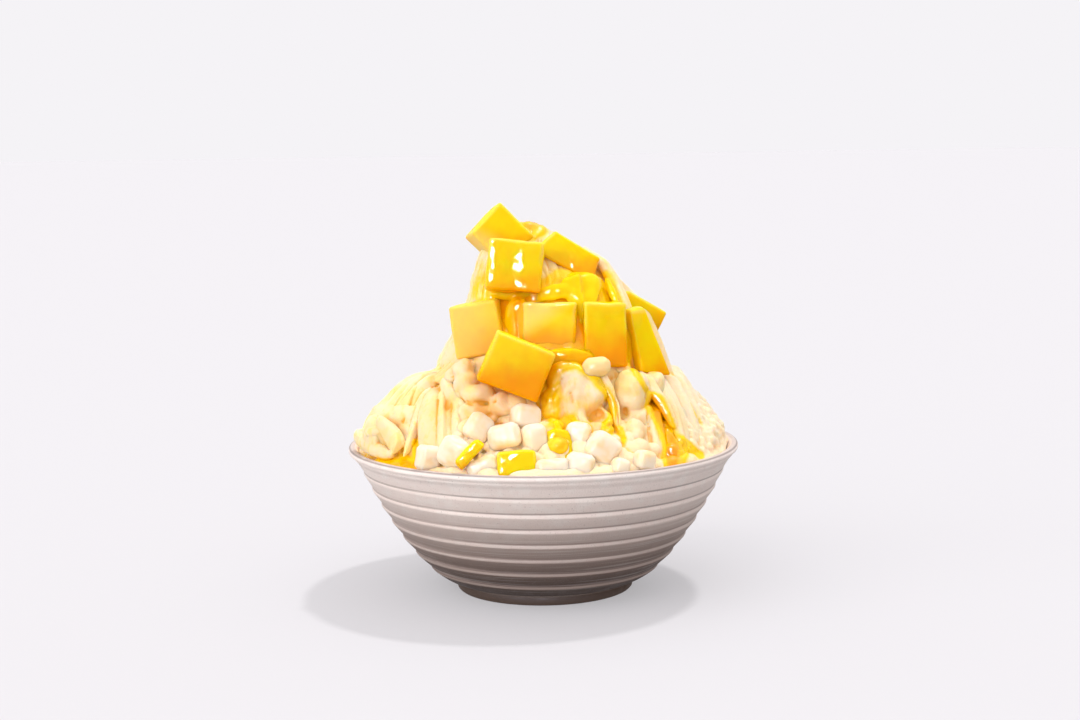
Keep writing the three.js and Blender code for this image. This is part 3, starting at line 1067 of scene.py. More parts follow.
@dataclass(frozen=True)
class Trail:
    """A line that syrup has run along or a crease follows, and how far it reaches to either side."""

    corners: Rows
    reach: float
    amount: float = 1.0

    def share(self, points: Array) -> Array:
        """The amount at each point: it falls off as a bell with the distance from the line.

        Args:
            points: places, n by 3.

        Returns:
            The amounts.
        """
        corners = np.array(self.corners, float)
        length = np.linalg.norm(np.diff(corners, axis=0), axis=1).sum()
        line = smooth_path(corners, 2 + int(length / (0.7 * self.reach)))
        edge = 2.6 * self.reach / np.array(DEPTH_COUNTS)
        inside = (points > line.min(axis=0) - edge) & (points < line.max(axis=0) + edge)
        near = np.flatnonzero(np.all(inside, axis=1))
        away = np.full(len(near), np.inf)
        for place_on_line in line:
            away = np.minimum(away, np.sum(((points[near] - place_on_line) * DEPTH_COUNTS) ** 2, axis=1))
        result = np.zeros(len(points))
        result[near] = self.amount * np.exp(-away / self.reach**2)
        return result


def amounts(marks: tuple[Spot | Trail, ...], points: Array) -> Array:
    """The marks' amounts at each point, added up."""
    return sum(mark.share(points) for mark in marks)


@dataclass(frozen=True)
class Fan:
    """Ribbons side by side between two guide lines, each line given from its upper end to its foot."""

    left: Rows
    right: Rows
    count: int
    width: float
    thickness: float
    pleats: int = 1
    spread: float = 0.5

    def strips(self, seed: int) -> list[Strip]:
        """Ribbons at even shares between the guides, each a little thicker, wider or further out.

        Args:
            seed: picks another chance.

        Returns:
            The ribbons.
        """
        left, right = np.array(self.left, float), np.array(self.right, float)
        made = []
        for number in range(self.count):
            vary = [chance(seed + 10 * number + part) - 0.5 for part in range(4)]
            share = (number + 0.5 + self.spread * vary[0]) / self.count
            line = left * (1.0 - share) + right * share
            width, thickness = self.width * (1.0 + 0.6 * vary[1]), self.thickness * (1.0 + 0.5 * vary[2])
            swell = width * (1.0 + 0.2 * np.sin(np.linspace(0.0, 3.0, len(line)) + 6.0 * vary[3]))
            stations = np.column_stack([line, swell, np.full(len(line), thickness)])
            made.append(Strip(tuple(map(tuple, stations)), self.pleats, 1.6 * vary[3]))
        return made


@dataclass
class SnowIce:
    """The mound of folded ice: a core, ribbons, a piped curl, lumps and loose snow, melted into six skins."""

    bowl: Bowl
    # height, centre x, half width, reach to the front, reach to the back
    levels: Rows = (
        (56, 0, 94, 94, 94), (62, 0, 89, 86, 89), (68, 0, 83.5, 77, 83), (74, 0.5, 80, 70, 78),
        (81, 0, 75, 62, 73), (88, -1, 67, 55, 65), (96, 0, 56.5, 51, 56), (104, 2.5, 50, 48, 50),
        (114, 4, 45.5, 44, 46), (126, 5.5, 40.5, 39, 41), (138, 3.5, 34, 32.5, 35),
        (148, -0.7, 28, 24.5, 29), (158, -5, 19.5, 15.5, 20), (165, -6, 11, 10.5, 11), (169, -6, 5, 5, 5),
    )
    # the left: a smooth outer fold, a drooping strip, a pleated one, knots, and a curl that hangs on the lip
    left_strips: tuple[Strip, ...] = (
        Strip(((-46, -2, 106, 16, 8), (-62, -8, 97, 24, 10), (-71, -12, 88, 27, 10), (-77, -15, 79, 24, 9),
               (-80, -16, 66, 16, 7)), 2),
        Strip(((-44, -17, 106, 9, 6), (-56, -23, 98, 13, 8), (-64, -29, 89, 15, 8), (-67, -34, 79, 13, 7)),
               2, 0.6),
        Strip(((-49, -27, 100, 5, 5), (-54, -33, 93, 6.5, 6), (-59, -39, 84, 7, 6), (-62, -44, 75, 6, 5)),
               1, 0.2),
        Strip(((-51, -31, 99, 5, 4), (-53.5, -37, 90, 6, 5), (-57, -45, 79, 5, 4),
               (-60, -53, 69.5, 2.6, 3)), 1, 2.0),
        Strip(((-46, -30, 100, 3, 4), (-48.5, -38, 95, 8, 6), (-50, -46, 88, 10.5, 7),
               (-49.5, -54, 80, 11, 7), (-48, -62, 66, 10, 6)), 1, 1.8, 0.5),
        Strip(((-44, -33, 100, 3, 3), (-43.5, -43, 93, 4.5, 4), (-43.5, -51, 86, 5, 4),
               (-43.5, -58, 77, 5.5, 4), (-44, -62, 68, 6, 4)), 1, 2.6),
        Strip(((-41, -36, 99, 3, 3), (-40.5, -45, 92, 3.5, 4), (-41, -52, 85, 3.5, 4),
               (-41.5, -58, 76, 4, 4)), 1, 1.6),
        Strip(((-46, -24, 102, 5, 4), (-42, -41, 99, 6.5, 5), (-37, -48, 93, 7, 6), (-31, -54, 88, 5.5, 5)),
               1, 1.0),
        Strip(((-39, -45, 98, 6, 5), (-38, -51, 91, 5, 5), (-38, -56, 84, 6, 5), (-38, -62, 70, 7, 5)), 1),
        Strip(((-43, -50, 90, 4, 4), (-42, -57, 80, 6, 4), (-41, -63, 68, 7, 4)), 1),
        Strip(((-31, -12, 122, 7, 5), (-35, -19, 114, 9, 6), (-41, -22, 106, 11, 7),
               (-49, -24, 100, 10, 6)), 3, 0.5),
        Strip(((-28, -30, 112, 6, 4), (-33, -34, 107, 8, 6), (-38, -36, 101, 8, 6)), 2, 0.5),
    )
    curl: tuple[Strip, ...] = (
        Strip(((-78, -15, 82, 5, 5), (-75, -25, 86, 9, 5), (-68, -32, 86.5, 11, 6), (-60, -37, 87, 11, 6),
               (-54, -38, 88, 7, 5)), 1, 1.2, 2.0),
        Strip(((-75, -26, 86, 6, 5), (-76, -30, 82, 10.5, 7), (-76, -33, 77.5, 12, 8),
               (-74, -37, 73, 9, 7)), 1, 1.6, 0.8),
        Strip(((-82, -15, 77, 5, 5), (-81.5, -23, 74, 6.5, 6), (-76, -33, 71.2, 7, 6),
               (-69, -42, 69.6, 6, 5), (-64, -48, 69, 3, 4)), 1, 3.4, 0.8),
        Strip(((-73, -33, 85, 2.5, 3), (-70, -38, 82, 6, 4), (-65.5, -43, 78, 8.5, 5), (-63, -47, 74, 8, 5),
               (-63.5, -50, 69.5, 3, 3)), 1, 4.4, 1.6),
        Strip(((-66, -36, 84, 4, 4), (-60, -42, 80, 7, 5), (-58, -46, 75, 7, 5), (-58, -50, 70, 4, 4)),
               1, 0.4),
    )
    # x, y, z, half width, half depth, half height
    left_lumps: Rows = (
        (-35, -41, 106, 5, 6, 6), (-33.5, -43, 101, 6, 6, 7), (-28, -47, 97, 8, 5.5, 5),
        (-29, -51, 90, 7, 5, 4), (-18, -50, 91, 6, 5.5, 7), (-71.5, -33, 76.5, 7.5, 6.5, 6.5),
        (-22, -52, 84, 6, 5, 5), (-33, -55, 82, 6, 5, 5), (-40, -34, 103, 4, 5, 4), (-37, -44, 94, 4, 5, 5),
        (-41, -42, 91, 4, 4, 7), (-12, -50, 92, 6, 5, 6), (-34, -50, 87, 5, 5, 5),
    )
    # the middle: one large lump, a crater and a pierced lump beside it, and soft folds down to the lip
    middle_strips: tuple[Strip, ...] = (
        Strip(((24, -46, 109, 4, 4), (28, -49.5, 101, 4.8, 4), (31.5, -51.5, 92, 4.4, 4),
               (32.5, -56, 82, 4, 4)), 1, 0.5),
        Strip(((32, -48, 89, 5, 5), (34, -56, 80, 7, 5), (37, -62, 73, 7, 5), (40, -66, 65, 6, 4)),
               1, 0.8),
        Strip(((45, -34, 106, 4, 4), (49, -41, 97, 5, 4), (54, -44, 89, 5, 4), (57.5, -46, 80, 4, 3)),
               1, 1.2),
    )
    fans: tuple[Fan, ...] = (
        Fan(((41, -42, 92), (42, -50, 83), (43, -57, 75), (44, -65, 65)), ((50, -40, 94), (51, -47, 84),
            (52, -53, 76), (53, -60, 65)), 3, 5.0, 5.0),
        Fan(((47, -28, 106), (52, -38, 96), (57, -45, 85), (60, -54, 65)), ((60, -8, 104), (66, -16, 94),
            (71, -24, 82), (77, -32, 65)), 6, 6.0, 4.4),
        Fan(((60, -8, 104), (68, -12, 93), (75, -18, 80), (81, -22, 66)), ((58, 24, 104), (66, 28, 94),
            (73, 31, 80), (77, 34, 66)), 6, 9.0, 4.0, 2),
    )
    middle_lumps: Rows = (
        (14, -45, 94, 12.5, 13, 16), (10, -46, 103, 9, 9, 8), (5, -50, 90, 7, 8, 10),
        (20, -48, 96, 9, 9, 10), (38.5, -42, 95.5, 8.2, 9, 10.5), (50, -33, 98, 5, 6, 6),
        (40, -38, 84, 12, 14, 8), (24, -46, 82, 10, 10, 8),
    )
    crater: Triple = (22.5, -55.5, 87.5)
    crater_radius: float = 5.0
    # the top: strips between the cubes
    top_strips: tuple[Strip, ...] = (
        Strip(((-3, -12, 161, 7, 5), (2, -21, 152, 10, 5), (5, -28, 143, 11, 5), (6, -31, 136, 10, 5)),
               2, 1.2),
        Strip(((17, -12, 155, 6, 5), (24, -21, 142, 7, 5), (27, -26, 132, 8, 5), (29, -29, 124, 8, 5)),
               2, 0.6),
        Strip(((22, -4, 160, 6, 5), (32, -13, 146, 7, 5), (37, -21, 135, 7, 5), (40, -25, 126, 7, 5)),
               2, 0.8),
        Strip(((38, 2, 142, 6, 5), (46, -5, 130, 7, 5), (52, -9, 117, 8, 5), (57, -12, 103, 8, 5),
               (60, -14, 96, 6, 4)), 2, 1.0),
        Strip(((-20, -6, 166, 7, 5), (-26, -11, 154, 9, 5), (-29, -13, 143, 10, 5), (-31, -16, 132, 10, 5),
               (-33, -18, 122, 8, 5)), 3, 0.8),
        Strip(((-16, -13, 162, 5, 4), (-21, -18, 150, 7, 5), (-24, -21, 139, 8, 5), (-25, -24, 130, 7, 5)),
               2, 0.2),
        Strip(((28, -20, 122, 8, 5), (33, -31, 112, 10, 5), (37, -40, 104, 9, 5)), 2, 0.5),
    )
    top_lumps: Rows = ((-4, -5, 163.5, 7, 6, 5.5), (2, -2, 160, 7, 7, 5))
    back_from: float = 8.0
    back_to: float = 172.0
    back_count: int = 10
    back_lumps: Rows = (
        (20, 44, 96, 14, 13, 13), (-26, 46, 92, 12, 12, 11), (58, 18, 93, 5.5, 8, 6),
        (62, 19, 88, 5.5, 7.5, 6), (65.5, 21, 83.5, 5, 6.5, 5),
    )
    # the bearing that the short fold behind leaves free for the pearl there
    back_pearl: float = 123.0
    # holes, and creases across the curl, the outer fold and the lumps
    dents: tuple[Spot | Trail, ...] = (
        Spot(35.6, -49, 88.3, 1.7, 2.8), Spot(22.5, -58, 88, 4.0, 2.0), Spot(-26, -56, 91, 3.6, 1.2),
        Trail(((-33, -53, 94.2), (-28, -55, 94.4), (-21, -54, 94.8)), 0.7, 2.0),
        Spot(-19, -57, 84, 2.2, 3.0), Spot(-41, -46, 91.5, 1.6, 2.0), Spot(-47, -34, 97, 1.6, 2.5),
        Spot(-41, -44, 104, 1.8, 2.5), Trail(((-66, -20, 95), (-68, -27, 87)), 0.9, 0.9),
        Trail(((-57, -26, 99), (-59, -34, 90), (-62, -40, 84)), 0.7, 1.4),
        Trail(((-74, -14, 90), (-77, -16, 82)), 0.9, 0.7),
        Trail(((-61, -16, 99), (-65, -22, 93)), 0.8, 0.8),
        Trail(((-62, -24, 97), (-66, -31, 90), (-66, -34, 87)), 0.8, 1.0),
        Trail(((-45.8, -44, 94), (-46, -52, 85), (-45, -60, 75)), 0.5, 1.2),
        Trail(((8, -56, 104), (4, -57, 96), (5, -60, 88)), 0.9, 0.8),
        Trail(((12, -58, 98), (14, -60, 91)), 1.0, 0.8),
        Trail(((33, -50, 100), (32, -53, 92), (33, -57, 84)), 0.7, 1.4),
        Trail(((46, -46, 97), (46, -48, 90), (46, -54, 80), (47, -59, 72)), 0.8, 1.6),
        Trail(((39, -50, 83), (39, -57, 77), (41, -62, 71)), 0.6, 1.2),
    )
    soaks: tuple[Spot | Trail, ...] = (
        Trail(((18, -48, 108), (25, -53, 101), (30, -52, 91), (28, -58, 81)), 2.4, 1.1),
        Trail(((1, -54, 99), (2, -57, 92), (6, -62, 83)), 4.6, 0.85),
        Trail(((12, -60, 86), (17, -61, 82)), 3.2, 1.0),
        Trail(((6, -57, 98), (13, -59, 95), (19, -59, 92)), 3.6, 0.4),
        Trail(((4, -56, 104), (8, -58, 92)), 3.6, 0.3),
        Trail(((49, -42, 91), (52, -49, 85.5), (55, -55, 79), (56, -58, 74), (55, -63, 69)), 3.9, 2.2),
        Trail(((19, -56, 84), (24, -56, 82), (28, -57, 84)), 2.0, 1.6),
        Trail(((-27, -15, 150), (-29, -17, 138)), 4.0, 0.5),
        Trail(((61, -50, 75), (60, -55, 67)), 2.6, 1.0),
        Trail(((38, -34, 110), (42, -47, 103), (46, -48, 97), (49, -46, 93)), 1.8, 0.9),
        Trail(((33, -58, 82), (35, -61, 76), (38, -66, 70)), 2.2, 0.9),
        Trail(((66, -26, 88), (71, -30, 80)), 1.6, 0.6), Trail(((64, -46, 72), (69, -44, 68)), 2.6, 0.9),
        Trail(((-78, -28, 66), (-66, -48, 66.5), (-52, -62, 66.5)), 2.8, 1.5),
        Trail(((-55.5, -50, 76), (-54, -58, 67)), 2.2, 1.5),
        Trail(((-62, -44, 72), (-59, -50, 68)), 2.2, 1.2),
        Trail(((-33, -52, 83), (-26, -56, 81), (-18, -58, 83)), 2.4, 0.9),
        Trail(((29, -20, 145), (32, -23, 137), (34, -25, 130)), 3.0, 0.9),
        Trail(((-4, -46, 106), (14, -46, 111), (28, -42, 111)), 3.0, 1.0), Spot(18, -28, 138, 13, 1.3),
        Spot(8, -31, 139, 8, 0.9), Spot(-4, -5, 168, 7, 1.6), Spot(-10, -33, 128, 11, 1.6),
        Spot(18, -32, 122, 11, 1.8), Spot(4, -44, 114, 8, 1.4), Spot(-14, -27, 138, 10, 1.2),
        Spot(36, -30, 116, 8, 1.2), Spot(-24, -22, 140, 4, 0.5), Spot(50, -30, 108, 6, 0.8),
        Spot(58, -18, 97, 6, 0.5), Spot(-54, -28, 98, 4, 0.35), Spot(-63, -36, 86, 4, 0.35),
        Spot(0, 40, 120, 22, 0.9), Spot(-30, 30, 120, 16, 0.7), Spot(38, 34, 100, 12, 0.8),
        Spot(-45, 45, 84, 9, 0.8), Spot(10, 60, 86, 9, 0.9),
    )
    # tan painted shade: in the crater, in creases of the curl and the lumps, and over the broad strip at the
    # left front
    tan_shades: tuple[Spot | Trail, ...] = (
        Trail(((-49, -45, 89), (-48.5, -55, 79), (-47, -60, 70)), 6.0, 0.5), Spot(22.5, -55, 88, 5.0, 0.9),
        Trail(((-70, -36, 84), (-62, -41, 83)), 2.0, 0.8),
        Trail(((-31, -50, 91.5), (-21, -53, 91)), 4.0, 0.7),
        Trail(((-41, -44, 94), (-41, -52, 85)), 1.8, 0.8),
        Trail(((-82, -22, 76), (-75, -34, 74)), 1.4, 0.5), Spot(-65, -24, 92, 5.0, 0.4),
        Trail(((-33, -52, 84), (-20, -56, 84)), 3.0, 0.7), Spot(36, -50, 86, 4.0, 0.5),
        Trail(((44, -50, 84), (43, -58, 75)), 3.0, 0.45), Spot(-78, -30, 72, 4.0, 0.4),
    )
    syrup_depth: float = 0.5
    tuck: float = 3.5
    crag_relief: float = 1.4
    thin_count: int = 54
    fluff_grains: int = 1100
    bed_lumps: int = 170
    most_triangles: int = 190000
    # heights between which the mound's ellipses are given
    lowest: float = 56.0
    peak: float = 169.0
    snow_bearings: tuple[float, float] = (-48.0, 62.0)
    snow_lowest: float = 69.0
    snow_climb: float = 34.0
    bed_bearings: tuple[float, float] = (238.0, 305.0)
    bed_lowest: float = 67.0
    bed_climb: float = 18.0
    bank_bearings: tuple[float, float] = (232.0, 322.0)
    bank_radius: float = 82.3
    bank_height: float = 66.9

    def row(self, column: int, height: Array) -> Array:
        """One column of the levels at each height: a cubic between rows, with the slope at each row.

        Args:
            column: which column.
            height: heights above the table.

        Returns:
            The column's values.
        """
        rows = np.array(self.levels, float)
        level, value = rows[:, 0], rows[:, column]
        slope = np.gradient(value, level)
        slope[1:-1] = (value[2:] - value[:-2]) / (level[2:] - level[:-2])
        low = np.clip(np.searchsorted(level, height, side="right") - 1, 0, len(rows) - 2)
        span = level[low + 1] - level[low]
        t = np.clip((height - level[low]) / span, 0.0, 1.0)
        rise = t * t * (3.0 - 2.0 * t)
        start = t * (1 - t) ** 2 * span * slope[low]
        end = t * t * (1 - t) * span * slope[low + 1]
        return value[low] * (1 - rise) + value[low + 1] * rise + start - end

    def reach(self, side: Array, height: Array) -> Array:
        """How far the ellipse of a height reaches: to the front where side is below 0, else to the back."""
        return np.where(side < 0, self.row(3, height), self.row(4, height))

    def on_mound(self, bearing: Array, height: Array, relief: Array | float = 0.0) -> Array:
        """A point of the mound: each level is an ellipse with one reach to the front and another to the back.

        Args:
            bearing: degrees, any shape.
            height: of the same shape.
            relief: how far outside the smooth mound.

        Returns:
            Points, with one more axis of 3.
        """
        angle = np.radians(bearing)
        reach = self.reach(np.sin(angle), height) + relief
        x = self.row(1, height) + (self.row(2, height) + relief) * np.cos(angle)
        return np.stack([x, reach * np.sin(angle), height + 0.0 * angle], axis=-1)

    def outward(self, bearing: Array, height: Array) -> Array:
        """The direction away from the mound: across a small step round and a small step up.

        Args:
            bearing: degrees, any shape.
            height: of the same shape.

        Returns:
            Directions, with one more axis of 3.
        """
        round_step = self.on_mound(bearing + 2.0, height) - self.on_mound(bearing - 2.0, height)
        up_step = self.on_mound(bearing, height + 1.0) - self.on_mound(bearing, height - 1.0)
        return unit(np.cross(round_step, up_step))

    def rank(self, points: Array, side: Array) -> Array:
        """How far out points lie, as a share of the ellipse of their height: 1 is on the mound.

        Args:
            points: places, n by 3.
            side: below 0 where the front's reach counts.

        Returns:
            The shares.
        """
        height = points[:, 2]
        x = points[:, 0] - self.row(1, height)
        return np.hypot(x / self.row(2, height), points[:, 1] / self.reach(side, height))

    def facing(self, points: Array) -> Array:
        """The way out of the mound near points: up the steepest slope of the ellipse of their own height.

        Args:
            points: places near the mound, n by 3.

        Returns:
            Directions, n by 3.
        """
        inside = np.column_stack([points[:, :2], np.clip(points[:, 2], self.lowest + 1.0, self.peak - 1.0)])
        side = points[:, 1]
        steps = [self.rank(inside + step, side) - self.rank(inside - step, side) for step in np.eye(3)]
        return unit(np.stack(steps, axis=-1))

    def core(self) -> Surface:
        """The mound from the bowl's floor to its peak, kept inside the wall, with crags above the lip.

        Returns:
            Rings from the floor up to the peak.
        """
        gap = 0.4
        lowest = self.bowl.floor_height + gap
        bearing, height = np.meshgrid(np.arange(0, 360, 1.5), np.linspace(lowest, self.peak, 150))
        mound = self.on_mound(bearing, np.maximum(height, self.lowest))
        mound[..., 2] = height
        crags = rough(mound.reshape(-1, 3), 15.0, 3, 5).reshape(height.shape)
        flat = self.on_mound(bearing, np.maximum(height, self.lowest), 3.2 * self.crag_relief * crags)
        mound = np.where((height > 62.0)[..., None], flat, mound)
        mound[..., 2] = height
        radius = np.hypot(mound[..., 0], mound[..., 1])
        inside = self.bowl.inside_radius(height) - gap - 6.0 * (1.0 - ease(lowest, lowest + 4.0, height))
        held = np.where(height < 68.5, np.minimum(1.0, inside / radius), 1.0)
        mound[..., :2] *= held[..., None]
        return Surface.rings(mound)

    @staticmethod
    def carried(middle: Array, across: Array, out: Array, wide: Array, deep: Array) -> Surface:
        """A section carried along a line: each point is moved sideways and outwards from the line.

        Args:
            middle: the line's points, n by 3.
            across: the direction sideways at each of them.
            out: the direction outwards at each of them.
            wide: the section's offsets sideways, n by its sides.
            deep: its offsets outwards, of the same shape.

        Returns:
            The closed ribbon.
        """
        aside = across[:, None] * wide[..., None]
        return Surface.rings(middle[:, None] + aside + out[:, None] * deep[..., None])

    def ribbon(self, fold: Fold, sides: int = 40, steps: int = 34) -> Surface:
        """One ribbon: a flat oval with rounded pleats along its outer face, carried down the mound.

        Args:
            fold: where it lies and its size.
            sides: points round the oval.
            steps: rings along it.

        Returns:
            The closed ribbon.
        """
        s = (np.arange(steps) + 0.5) / steps
        turn = even_turns(sides)
        sway = 2.2 * np.sin(2 * np.pi * s * 1.3 + fold.top_bearing) * ease(0.0, 0.4, s)
        bearing = fold.top_bearing + (fold.foot_bearing - fold.top_bearing) * s + sway
        height = fold.top_height + (fold.foot_height - fold.top_height) * s
        middle = self.on_mound(bearing, height)
        out = self.outward(bearing, height)
        down = unit(np.gradient(middle, axis=0))
        across = unit(np.cross(out, down))
        fullness = np.sqrt(np.maximum(0.0, 1.0 - (2.0 * s - 1.0) ** 6))
        width = 0.5 * fold.width * fullness * (0.86 + 0.28 * s)
        half = 0.5 * fold.thickness * fullness * (0.9 + 0.25 * s)
        side, face = np.cos(turn), np.sin(turn)
        pleat = np.abs(np.sin(np.pi * fold.pleats * (side + 1.0) / 2.0)) ** 0.6 - 0.7
        depth = min(1.8, 0.4 * fold.width / fold.pleats) * (face > 0) * np.abs(face) ** 0.5
        lift = fold.thickness * 0.08
        outer = half[:, None] * face[None] + (depth * pleat)[None] * fullness[:, None] + lift
        return self.carried(middle, across, out, width[:, None] * side[None], outer)

    def strip(self, strip: Strip, sides: int = 72, steps: int = 46) -> Surface:
        """One front ribbon: a flat oval carried along the stations. Its pleats rise slowly and fall sharply.

        Args:
            strip: its stations, pleats and lift.
            sides: points round the oval.
            steps: rings along it.

        Returns:
            The closed ribbon.
        """
        stations = smooth_path(np.array(strip.stations, float), steps)
        s = np.linspace(0.0, 1.0, steps)
        turn = even_turns(sides)
        out = self.facing(stations[:, :3])
        down = unit(np.gradient(stations[:, :3], axis=0))
        across = unit(np.cross(out, down))
        out = np.cross(down, across)
        fullness = np.sqrt(np.maximum(0.03, 1.0 - (2.0 * s - 1.0) ** 6))
        width, half = 0.5 * stations[:, 3] * fullness, 0.5 * stations[:, 4] * fullness
        side, face = np.cos(turn), np.sin(turn)
        across_pleat = (strip.pleats * (side + 1.0) / 2.0) % 1.0
        pleat = 1.5 * across_pleat**0.8 * (1.0 - ease(0.78, 1.0, across_pleat)) - 0.7
        depth = np.minimum(strip.relief, 0.17 * strip.relief * stations[:, 3] / strip.pleats) * fullness
        outer = half[:, None] * face[None] + depth[:, None] * (pleat * (face > 0) * np.abs(face) ** 0.5)[None]
        tuck = self.tuck * (1.0 - ease(0.0, 0.22, s))
        middle = stations[:, :3] + out * (strip.lift - 0.7 * half - tuck)[:, None]
        return self.carried(middle, across, out, width[:, None] * side[None], outer)

    def crater_rim(self) -> Surface:
        """A rounded ring on the middle lump, lower and thinner on its left.

        Returns:
            The ring.
        """
        centre = np.array(self.crater, float)
        out = self.facing(centre[None])[0]
        aside = unit(np.cross(out, np.array([0.0, 0.0, 1.0])))
        above = np.cross(aside, out)
        turn = np.linspace(0.0, 2.0 * np.pi, 60)
        reach = self.crater_radius * (1.0 + 0.12 * np.sin(2 * turn + 0.6))
        spokes = aside * np.cos(turn)[:, None] + 1.25 * above * np.sin(turn)[:, None]
        path = centre + reach[:, None] * spokes
        return along_path(path, 2.1 + 0.4 * np.sin(turn + 2.0), 16)

    def back_folds(self) -> list[Fold]:
        """Ribbons round the sides and back: every third starts high, and none covers the pearl there.

        Returns:
            The ribbons.
        """
        made = []
        for number in range(self.back_count):
            high = number % 3 == 1
            bearing = self.back_from + (self.back_to - self.back_from) * number / (self.back_count - 1)
            bearing += 5 * chance(number)
            top = (136 if high else 97) + 12 * chance(number + 40)
            lean = 26 * (chance(number + 80) - 0.5)
            width, thickness = 10 + 8 * chance(number + 120), 6 + 2 * chance(number + 160)
            short = high or abs(bearing + lean - self.back_pearl) < 6.0
            made.append(Fold(bearing, top, bearing + lean, 84 if short else 70, width, thickness, 3))
        return made

    def thin_folds(self) -> list[Fold]:
        """Narrow ribbons that fill in all round between the broad ones, in three tiers.

        Returns:
            The ribbons.
        """
        made = []
        for number in range(self.thin_count):
            tier = number % 3
            bearing = 360 * number / self.thin_count + 6 * chance(number + 7)
            if 196 < bearing < 345 and tier > 0:
                continue
            top = (94, 122, 146)[tier] + 9 * chance(number + 210)
            length = 20 + 9 * chance(number + 250)
            lean = 16 * (chance(number + 290) - 0.5)
            width = 5 + 5 * chance(number + 330)
            made.append(Fold(bearing, top, bearing + lean, max(70, top - length), width, 4.6, 2))
        return made

    def lump_surfaces(self, lumps: Rows) -> list[Surface]:
        """Rounded lumps: a ball stretched to each size, its skin moved out and in by noise.

        Args:
            lumps: middle and half sizes of each.

        Returns:
            The lumps.
        """
        ball = unit_ball(18, 28)
        made = []
        for x, y, z, width, depth, height in lumps:
            points = np.array([x, y, z]) + ball * np.array([width, depth, height])
            wave = rough(points.reshape(-1, 3), 9.0, 2, 17).reshape(ball.shape[:2])
            made.append(Surface.rings(points + ball * 2.6 * wave[..., None]))
        return made

    def bed(self) -> Surface:
        """Soft lumps of snow among the jelly at the front, and a low bank along the lip.

        Returns:
            The lumps and the bank.
        """
        draw = np.random.default_rng(5)
        count = self.bed_lumps
        bearing = draw.uniform(*self.bed_bearings, count)
        height = self.bed_lowest + self.bed_climb * draw.uniform(0.0, 1.0, count) ** 1.4
        depth = draw.uniform(-1.5, 1.6, (count, 1))
        centres = self.on_mound(bearing, height) + self.outward(bearing, height) * depth
        halves = draw.uniform(2.6, 4.6, (count, 1)) * draw.uniform(0.8, 1.2, (count, 3))
        angle = np.radians(np.linspace(*self.bank_bearings, 90))
        flat = self.bank_radius * np.stack([np.cos(angle), np.sin(angle)], axis=-1)
        bank = np.column_stack([flat, np.full(len(angle), self.bank_height)])
        thick = 2.9 + 2.4 * noise(bank, 6.5, 61)
        return Surface.joined([balls(centres, halves, 10, 14), along_path(bank, np.maximum(thick, 1.4), 16)])

    def snow(self) -> Surface:
        """Loose snow on the right and right-hand back, where the ice is finest.

        Returns:
            The grains.
        """
        draw = np.random.default_rng(21)
        count = self.fluff_grains
        bearing = draw.uniform(*self.snow_bearings, count)
        height = self.snow_lowest + self.snow_climb * draw.beta(1.2, 1.6, count)
        size = 1.1 + 2.6 * draw.beta(1.2, 3.2, count)
        depth = draw.uniform(-0.8, 1.2, count)[:, None]
        centres = self.on_mound(bearing, height) + self.outward(bearing, height) * depth
        halves = size[:, None] * draw.uniform(0.7, 1.3, (count, 3))
        return balls(centres, halves, 6, 8)

    def fluff(self, points: Array) -> Array:
        """How fluffy the ice is: most on the right, from the lip up to the fruit."""
        right = window(-46.0, -26.0, 58.0, 80.0, bearings(points))
        return right * (1.0 - ease(100.0, 116.0, points[:, 2]))

    def pale(self, points: Array) -> Array:
        """How white the ice is: the fluffy side, and the bed of snow at the front."""
        front = window(230.0, 240.0, 308.0, 322.0, bearings(points) % 360)
        return np.maximum(self.fluff(points), 0.9 * front * (1.0 - ease(78.0, 88.0, points[:, 2])))

    def creases(self, points: Array) -> Array:
        """Fine lines down the mound: two layers of noise stretched along the slope.

        Args:
            points: places, n by 3.

        Returns:
            Relief, from a little below 0 up.
        """
        angle = np.arctan2(points[:, 1], points[:, 0])
        radius = np.hypot(points[:, 0], points[:, 1])
        spread = np.stack([60.0 * angle, 0.12 * points[:, 2] + 0.05 * radius, 0.1 * radius], axis=-1)
        return np.abs(noise(spread, 3.4, 41)) + 0.5 * np.abs(noise(spread, 1.9, 42)) - 0.35

    def proud(self, points: Array) -> Array:
        """How far points stand outside the smooth mound, from their rank and its half width there.

        Args:
            points: places, n by 3.

        Returns:
            Distances in millimetres.
        """
        level = np.column_stack([points[:, :2], np.clip(points[:, 2], self.lowest, self.peak)])
        return 0.7 * (self.rank(level, points[:, 1]) - 1.0) * self.row(2, level[:, 2])

